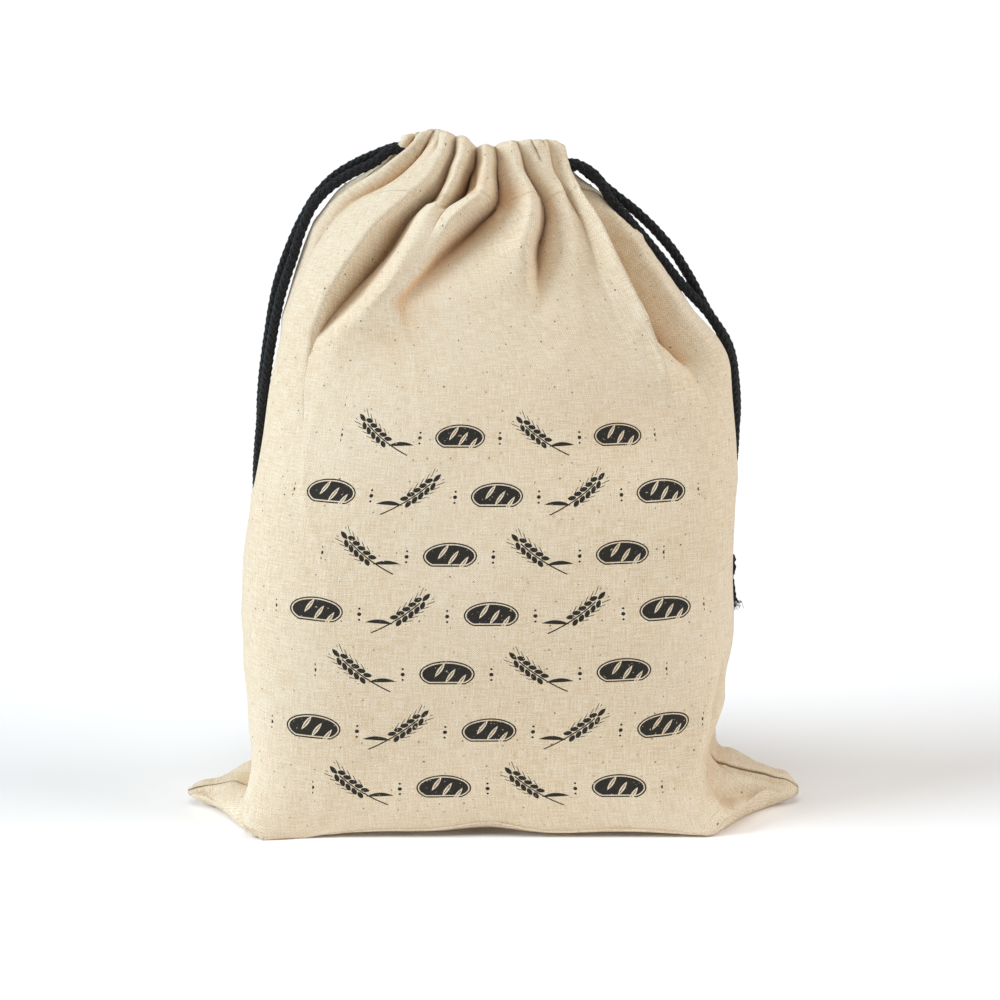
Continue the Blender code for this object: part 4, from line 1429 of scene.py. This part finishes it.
def loaf(bench, x, y):
    """A scored loaf 25 mm long, with a fine outline and three slanting cuts."""
    flat = y > -4.9
    body = oval(x, y - 0.4, 12.5, 6.9) * flat
    gap = oval(x, y - 0.4, 11.8, 6.2) * (y > -4.2) * (1 - oval(x, y - 0.4, 11.2, 5.6) * (y > -3.6))
    u, v = seen_turned(x, y - 0.6, -32)
    cut = bench.maths("MODULO", u + 62.6, CUT_STEP) - CUT_STEP / 2
    open_cut = pointed(cut, v, 0.95, 4.3) * between(u, -8.4, 8.4)
    rib = (abs(cut) < RIB_HALF) * between(v, -2.6, 2.6)
    return body * (1 - gap) * (1 - open_cut * (1 - rib))


def stamped_pattern(bench, across_mm, up_mm):
    """The whole pattern over one panel, from the place on it in millimetres."""
    from_bottom = up_mm - PRINT_FROM_UP
    row = bench.maths("FLOOR", from_bottom / CELL_HIGH)
    odd_row = bench.maths("MODULO", row + 10.0, 2.0)
    shifted = across_mm + odd_row * (CELL_WIDE / 2) + 10 * CELL_WIDE
    column = bench.maths("FLOOR", shifted / CELL_WIDE)
    x = bench.maths("MODULO", shifted, CELL_WIDE) - CELL_WIDE / 2
    y = bench.maths("MODULO", from_bottom + 10 * CELL_HIGH, CELL_HIGH) - CELL_HIGH / 2
    is_loaf = bench.maths("MODULO", column + odd_row, 2.0)
    lean = 1 - 2 * odd_row
    ear_x, ear_y = seen_turned(x * lean, y, EAR_LEAN)
    motif = wheat_ear(bench, ear_x, ear_y) * (1 - is_loaf) + loaf(bench, x, y) * is_loaf
    from_edge = abs(x) - CELL_WIDE / 2
    dots = oval(from_edge, y, 0.95, 0.95) + oval(from_edge, abs(y) - 2.8, 0.55, 0.55)
    printed = (abs(across_mm - x) < PRINT_HALF_WIDE) * between(row, -0.5, PRINT_ROWS - 0.5)
    return bench.maths("MAXIMUM", motif, dots) * printed


print("pattern cell:", CELL_WIDE, "by", CELL_HIGH, "mm, rows:", PRINT_ROWS)

# %% Unbleached cotton
SEAM_GROOVE = 0.9 * MM
SEAM_PUCKER_REACH = 14.0 * MM
THREAD_WANDER = 2.2

# How wide and how long the uneven stretches of the threads are, and the pale streaks along them
UNEVEN = (4 * MM, 30 * MM)
STREAK = (0.6 * MM, 9 * MM)

# Where each pattern of noise starts to show and where it shows in full, and how strong it is
STREAK_RANGE = (0.36, 0.64)
CREAM_SHARE = 0.35
CLOUD_SCALE = 14.0
CLOUD_RANGE = (0.35, 0.70)
CLOUD_SHARE = 0.25
GRAIN_SCALE = 1900.0
WEAVE_IN_GAPS = 0.24
GAP_RANGE = (0.26, 0.74)
GAP_SHARE = 0.44
WEAR_SCALE = 520.0
WEAVE_IN_WEAR = 0.04
WEAR_RANGE = (0.18, 0.32)
INK_SHARE = 0.98
INK_SMOOTHER = 0.12
CLOTH_ROUGHNESS = 0.9
GROOVE_SHARE = 0.35
SEAM_LINE_SHARE = 0.8

# How high each part of the cloth's relief is, in millimetres
WEAVE_HEIGHT = 0.035
STREAK_HEIGHT = 0.12
PUCKER_HEIGHT = 0.5
GROOVE_DEPTH = 0.6


def woven(bench, across, up):
    """The height of the weave, between -1 and 1, and how pale the threads run both ways."""
    uneven = stretched_noise(bench, across, up, *UNEVEN, 1.0) - 0.5
    uneven_up = stretched_noise(bench, across, up, *UNEVEN[::-1], 1.0) - 0.5
    warp_phase = across * (np.pi / THREAD_STEP) + uneven * THREAD_WANDER
    weft_phase = up * (np.pi / THREAD_STEP) + uneven_up * THREAD_WANDER
    weave = bench.maths("SINE", warp_phase) * bench.maths("SINE", weft_phase)
    warp_streak = stretched_noise(bench, across, up, *STREAK, 2.0)
    weft_streak = stretched_noise(bench, across, up, *STREAK[::-1], 2.0)
    return weave, (warp_streak + weft_streak) / 2


def cloth_colour(bench, place, weave, streak):
    """The colour of the cloth before it is printed: threads, gaps, flecks and painted shade in the folds."""
    colour = bench.mixed(bench.smooth_step(streak, *STREAK_RANGE), WARM_CREAM, PALE_CREAM)
    colour = bench.mixed(CREAM_SHARE, colour, CREAM)
    cloud = bench.noise_at(place, CLOUD_SCALE, 3.0, dimensions="2D")
    colour = bench.mixed(bench.smooth_step(cloud, *CLOUD_RANGE) * CLOUD_SHARE, colour, PALE_CREAM)
    grain = bench.noise_at(place, GRAIN_SCALE, 1.0, dimensions="2D")
    gaps = 1 - bench.smooth_step(weave * WEAVE_IN_GAPS + grain, *GAP_RANGE)
    colour = bench.mixed(gaps * GAP_SHARE, colour, GAP_TAN)
    for kind in FLECKS:
        colour = bench.mixed(flecks(bench, place, kind) * kind.strength, colour, kind.colour)
    # Painted shade: the deeper a point lies in a fold, the darker and more orange its colour
    fold_shade_mask = bench.node("ShaderNodeAttribute", {"attribute_name": "fold depth"}, {}, "Fac")
    return bench.mixed(fold_shade_mask, colour, PAINTED_FOLD_SHADE, "MULTIPLY")


def unbleached_cotton():
    material, bench, surface = new_finish("unbleached cotton", roughness=CLOTH_ROUGHNESS, sheen=0.12)
    place = bench.node("ShaderNodeUVMap", {"uv_map": "cloth"}, {})
    across = bench.node("ShaderNodeSeparateXYZ", {}, {0: place}, "X")
    up = across.neighbour("Y")
    weave, streak = woven(bench, across, up)
    colour = cloth_colour(bench, place, weave, streak)

    on_back = across > HALF_WIDTH
    across_mm = (across - on_back * FLAT_WIDTH) / MM
    up_mm = up / MM
    worn = bench.noise_at(place, WEAR_SCALE, 2.0, 0.7, "2D") + weave * WEAVE_IN_WEAR
    ink = stamped_pattern(bench, across_mm, up_mm) * bench.smooth_step(worn, *WEAR_RANGE) * INK_SHARE
    colour = bench.mixed(ink, colour, INK)

    to_seam = abs(across - HALF_WIDTH)
    to_left_seam = abs(to_seam - FLAT_WIDTH)
    nearest = bench.maths("MINIMUM", to_seam, to_left_seam)
    groove = 1 - bench.smooth_step(nearest, 0.0, SEAM_GROOVE)
    pucker = stretched_noise(bench, across, up, *UNEVEN[::-1], 0.0)
    near_seam = 1 - bench.smooth_step(nearest, 0.0, SEAM_PUCKER_REACH)
    height = weave * WEAVE_HEIGHT + streak * STREAK_HEIGHT
    height = height + pucker * near_seam * PUCKER_HEIGHT - groove * GROOVE_DEPTH
    bump = bench.node("ShaderNodeBump", {}, {"Height": height, "Distance": MM, "Strength": 1.0})
    colour = bench.mixed(groove * GROOVE_SHARE, colour, WARM_CREAM)
    seam_line = (nearest < SEAM_LINE) * (up_mm < SEAM_SHOWS_UP_TO)
    colour = bench.mixed(seam_line * SEAM_LINE_SHARE, colour, SEAM_BROWN)
    bench.feed(surface.inputs["Base Color"], colour)
    bench.feed(surface.inputs["Roughness"], CLOTH_ROUGHNESS - ink * INK_SMOOTHER)
    bench.feed(surface.inputs["Normal"], bump)
    return material


cotton_finish = unbleached_cotton()
print("finish:", cotton_finish.name, len(cotton_finish.node_tree.nodes), "nodes")

# %% The bag
bag_piece = add_piece("bag_cloth", cloth_mesh, cotton_finish)
thickness = bag_piece.modifiers.new("cloth thickness", "SOLIDIFY")
thickness.thickness = CLOTH_THICKNESS
thickness.offset = 0.0
thickness.use_even_offset = False
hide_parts("bag")
print("bag triangles:", 4 * len(cloth_mesh.polygons))

# %% [markdown]
# ## Knots and frayed ends
#
# On each side the two strands are tied together in one knot. An overhand knot is a trefoil seen from
# its side, so the same braid follows a trefoil's line. Two short ends hang from it, and their last few
# millimetres have come undone into threads.

# %% Knot braid
TREFOIL_SIZE = 1.52 * MM
TREFOIL_POINTS = 90
TREFOIL_DEPTH = 1.35
TAIL_BEND = Vector((0, 0, 0.6)) * MM
TAIL_SPACING = 1.5 * MM
KNOT_BRAID = {**BRAID, "Turn Length": 13.0 * MM, "Point Spacing": 0.7 * MM}


def trefoil(middle):
    """Points of a trefoil whose loops face sideways, round a middle."""
    turn = np.linspace(0, 2 * np.pi, TREFOIL_POINTS)
    wide = np.sin(turn) + 2 * np.sin(2 * turn)
    high = np.cos(turn) - 2 * np.cos(2 * turn)
    deep = -TREFOIL_DEPTH * np.sin(3 * turn)
    return np.array(middle) + TREFOIL_SIZE * np.column_stack([deep, wide, high])


knot_meshes = {}
for side_name, middle in knot_middles.items():
    shape = KNOTS[side_name]
    line = route_curve("lump", trefoil(middle))
    lump = mesh_from_nodes(f"lump_{side_name}", line, round_braid, KNOT_BRAID)
    knot_meshes[side_name] = [lump]
    for tail_name in ("front_tail", "back_tail"):
        tip = middle + Vector(getattr(shape, tail_name)) * MM
        sag = (middle + tip) / 2 + TAIL_BEND
        line = route_curve("tail", smooth_route([middle, sag, tip], TAIL_SPACING))
        tail = mesh_from_nodes(f"{tail_name}_{side_name}", line, round_braid, KNOT_BRAID)
        knot_meshes[side_name].append(tail)
    print("knot", side_name, "triangles", sum(triangles_of(mesh) for mesh in knot_meshes[side_name]))

# %% Frayed threads
THREAD_POINTS = 7
THREAD_SIDES = 4
THREAD_SHORTEST = 0.55
START_SHARE = 0.8
WAVE_SCALE = 320.0
WAVE_SHARE = 0.9


def fray_tree():
    """Geometry nodes that fan fine bent threads out of the end of a cord."""
    bench, size = start_tree("frayed end", {
        "Start": "Geometry", "Thread Count": "Int", "Thread Length": "Float", "Thread Radius": "Float",
        "End Radius": "Float", "Spread": "Float", "Place": "Vector", "Direction": "Vector", "Seed": "Int",
        "Material": "Material",
    })
    points = bench.node("GeometryNodePoints", {}, {"Count": size["Thread Count"]}, "Points")
    scatter = bench.node(
        "FunctionNodeRandomValue", {"data_type": "FLOAT_VECTOR"},
        {0: (-1.0, -1.0, 0.0), 1: (1.0, 1.0, 0.0), "Seed": size["Seed"]},
    )
    start = bench.scaled(scatter, size["End Radius"] * START_SHARE)
    points = bench.node("GeometryNodeSetPosition", {}, {"Geometry": points, "Position": start})
    thread = bench.node("GeometryNodeCurvePrimitiveLine", {}, {"End": (0.0, 0.0, 1.0)})
    thread = bench.node(
        "GeometryNodeResampleCurve", {"mode": "COUNT"}, {"Curve": thread, "Count": THREAD_POINTS},
    )
    lean = bench.vector_maths("ADD", bench.scaled(scatter, size["Spread"]), (0.0, 0.0, 1.0))
    turn = bench.node("FunctionNodeAlignRotationToVector", {"axis": "Z"}, {"Vector": lean})
    long = bench.node(
        "FunctionNodeRandomValue", {"data_type": "FLOAT"},
        {2: THREAD_SHORTEST, 3: 1.0, "Seed": size["Seed"] + 1}, 1,
    )
    scale = bench.vector(1.0, 1.0, long * size["Thread Length"])
    threads = bench.node(
        "GeometryNodeInstanceOnPoints", {},
        {"Points": points, "Instance": thread, "Rotation": turn, "Scale": scale},
    )
    threads = bench.node("GeometryNodeRealizeInstances", {}, {"Geometry": threads})
    place = bench.node("GeometryNodeInputPosition", {}, {})
    wave = bench.noise_at(place, WAVE_SCALE, 1.0, output="Color")
    wave = bench.vector_maths("SUBTRACT", wave, (0.5, 0.5, 0.5))
    share = bench.node("GeometryNodeSplineParameter", {}, {}, "Factor")
    bend = bench.scaled(wave, share * size["Thread Length"] * WAVE_SHARE)
    threads = bench.node("GeometryNodeSetPosition", {}, {"Geometry": threads, "Offset": bend})
    ring = bench.node(
        "GeometryNodeCurvePrimitiveCircle", {},
        {"Resolution": THREAD_SIDES, "Radius": size["Thread Radius"]},
    )
    mesh = bench.node("GeometryNodeCurveToMesh", {}, {"Curve": threads, "Profile Curve": ring})
    aim = bench.node("FunctionNodeAlignRotationToVector", {"axis": "Z"}, {"Vector": size["Direction"]})
    mesh = bench.node(
        "GeometryNodeTransform", {}, {"Geometry": mesh, "Translation": size["Place"], "Rotation": aim},
    )
    return finish_tree(bench, mesh, size["Material"])


frayed_end = fray_tree()
print("fray tree:", len(frayed_end.nodes), "nodes")

# %% Knots
FRAY = {
    "Thread Count": 46, "Thread Length": 7.0 * MM, "Thread Radius": 0.13 * MM,
    "End Radius": 2.2 * MM, "Spread": 0.5, "Material": yarn_finish,
}
FRAY_FROM = 0.93


def joined(name, meshes):
    """One mesh from several, with their materials."""
    whole = bmesh.new()
    for mesh in meshes:
        whole.from_mesh(mesh)
    together = bpy.data.meshes.new(name)
    whole.to_mesh(together)
    whole.free()
    together.materials.append(yarn_finish)
    return together


for side_name, middle in knot_middles.items():
    shape = KNOTS[side_name]
    for seed, tail_name in enumerate(("front_tail", "back_tail")):
        tail = Vector(getattr(shape, tail_name)) * MM
        start_at = middle + tail * FRAY_FROM
        values = {**FRAY, "Place": start_at, "Direction": tail.normalized(), "Seed": seed}
        start = bpy.data.meshes.new("start")
        threads = mesh_from_nodes(f"fray_{side_name}_{tail_name}", start, frayed_end, values)
        knot_meshes[side_name].append(threads)
    whole = joined(f"tied_{side_name}", knot_meshes[side_name])
    add_piece(f"tied_{side_name}", whole, yarn_finish)
    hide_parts(f"knot_{side_name}")
    print("knot", side_name, "triangles", triangles_of(whole))

# %% [markdown]
# ## Stitches of the casing
#
# A line of running stitches holds the hem down 25 mm below the rim, in thread of the cloth's own
# colour. Geometry Nodes put one small bent stitch at each point of a line that follows the folds.

# %% Stitch tree
STITCH_STEP = 3.1 * MM
STITCH_LENGTH = 2.4 * MM
STITCH_RADIUS = 0.19 * MM
STITCH_HEIGHT = 0.12 * MM
STITCH_LIFT = 0.1 * MM
CASING_UP = 0.375


def stitch_tree():
    """Geometry nodes that set a bent stitch on each point, along its run and facing outwards."""
    bench, size = start_tree("running stitches", {
        "Points": "Geometry", "Stitch Length": "Float", "Thread Radius": "Float", "Stitch Height": "Float",
        "Material": "Material",
    })
    half = size["Stitch Length"] / 2
    under = size["Stitch Height"] * -1
    over = size["Stitch Height"] * 3
    thread = bench.node("GeometryNodeCurveQuadraticBezier", {}, {
        "Resolution": 5, "Start": bench.vector(-1 * half, 0.0, under),
        "Middle": bench.vector(0.0, 0.0, over), "End": bench.vector(half, 0.0, under),
    })
    ring = bench.node(
        "GeometryNodeCurvePrimitiveCircle", {}, {"Resolution": 6, "Radius": size["Thread Radius"]},
    )
    stitch = bench.node(
        "GeometryNodeCurveToMesh", {}, {"Curve": thread, "Profile Curve": ring, "Fill Caps": True},
    )
    stitch = bench.node("GeometryNodeSetShadeSmooth", {}, {"Geometry": stitch, "Shade Smooth": True})
    run, facing = (
        bench.node("GeometryNodeInputNamedAttribute", {"data_type": "FLOAT_VECTOR"}, {"Name": name})
        for name in ("run", "facing")
    )
    turn = bench.node("FunctionNodeAlignRotationToVector", {"axis": "X"}, {"Vector": run})
    turn = bench.node(
        "FunctionNodeAlignRotationToVector", {"axis": "Z", "pivot_axis": "X"},
        {"Rotation": turn, "Vector": facing},
    )
    row = bench.node(
        "GeometryNodeInstanceOnPoints", {}, {"Points": size["Points"], "Instance": stitch, "Rotation": turn},
    )
    return finish_tree(bench, row, size["Material"])


running_stitches = stitch_tree()
print("stitch tree:", len(running_stitches.nodes), "nodes")

# %% Stitch thread
THREAD_CREAM = (0.80, 0.69, 0.52, 1.0)
THREAD_SHADE = (0.68, 0.55, 0.39, 1.0)
TWIST_SCALE = 2400.0
TWIST_DEPTH = 0.1 * MM
TWIST_RANGE = (0.35, 0.65)


def stitch_thread():
    material, bench, surface = new_finish("cream sewing thread", roughness=0.7, sheen=0.2)
    place = bench.node("ShaderNodeTexCoord", {}, {}, "Object")
    twist = bench.noise_at(place, TWIST_SCALE, 1.0)
    colour = bench.mixed(bench.smooth_step(twist, *TWIST_RANGE), THREAD_SHADE, THREAD_CREAM)
    bump = bench.node("ShaderNodeBump", {}, {"Height": twist, "Distance": TWIST_DEPTH, "Strength": 0.7})
    bench.feed(surface.inputs["Base Color"], colour)
    bench.feed(surface.inputs["Normal"], bump)
    return material


thread_finish = stitch_thread()
print("finish:", thread_finish.name)

# %% Casing stitches
def line_on_cloth(up, step):
    """Evenly spaced points on the outer face of the cloth at one height, with run and facing."""
    row = int(np.argmin(np.abs(row_ups - up)))
    normals = sheet_normals(row_points)[row]
    places = row_points[row] + normals * (CLOTH_THICKNESS / 2 + STITCH_LIFT)
    closed = np.vstack([places, places[:1]])
    length = running_length(closed)
    stops = np.arange(0, length[-1] - step / 2, step)
    at = read_along(stops, length, closed)
    run = read_along((stops + step / 4) % length[-1], length, closed) - at
    return at, run, read_along(stops, length, np.vstack([normals, normals[:1]]))


def stitch_points(name, at, run, facing):
    mesh = bpy.data.meshes.new(name)
    mesh.from_pydata([tuple(place) for place in at], [], [])
    for attribute_name, values in (("run", run), ("facing", facing)):
        attribute = mesh.attributes.new(attribute_name, "FLOAT_VECTOR", "POINT")
        attribute.data.foreach_set("vector", np.asarray(values, np.float32).ravel())
    return mesh


stitch_values = {
    "Stitch Length": STITCH_LENGTH, "Thread Radius": STITCH_RADIUS, "Stitch Height": STITCH_HEIGHT,
    "Material": thread_finish,
}
casing_points = stitch_points("casing points", *line_on_cloth(CASING_UP, STITCH_STEP))
casing_mesh = mesh_from_nodes("casing_stitches", casing_points, running_stitches, stitch_values)
casing_stitches = add_piece("casing_stitches", casing_mesh, thread_finish)
print("stitches:", len(casing_points.vertices), "triangles:", triangles_of(casing_mesh))

# %% [markdown]
# ## What the soft pieces are
#
# A cord and a cloth have a real length and size, whatever shape they lie in. These calls state them,
# so that the pieces can be measured against them.

# %% Cords and cloth
for name, piece in cords.items():
    side_name = "left" if "left" in name else "right"
    path = cord_paths[name]
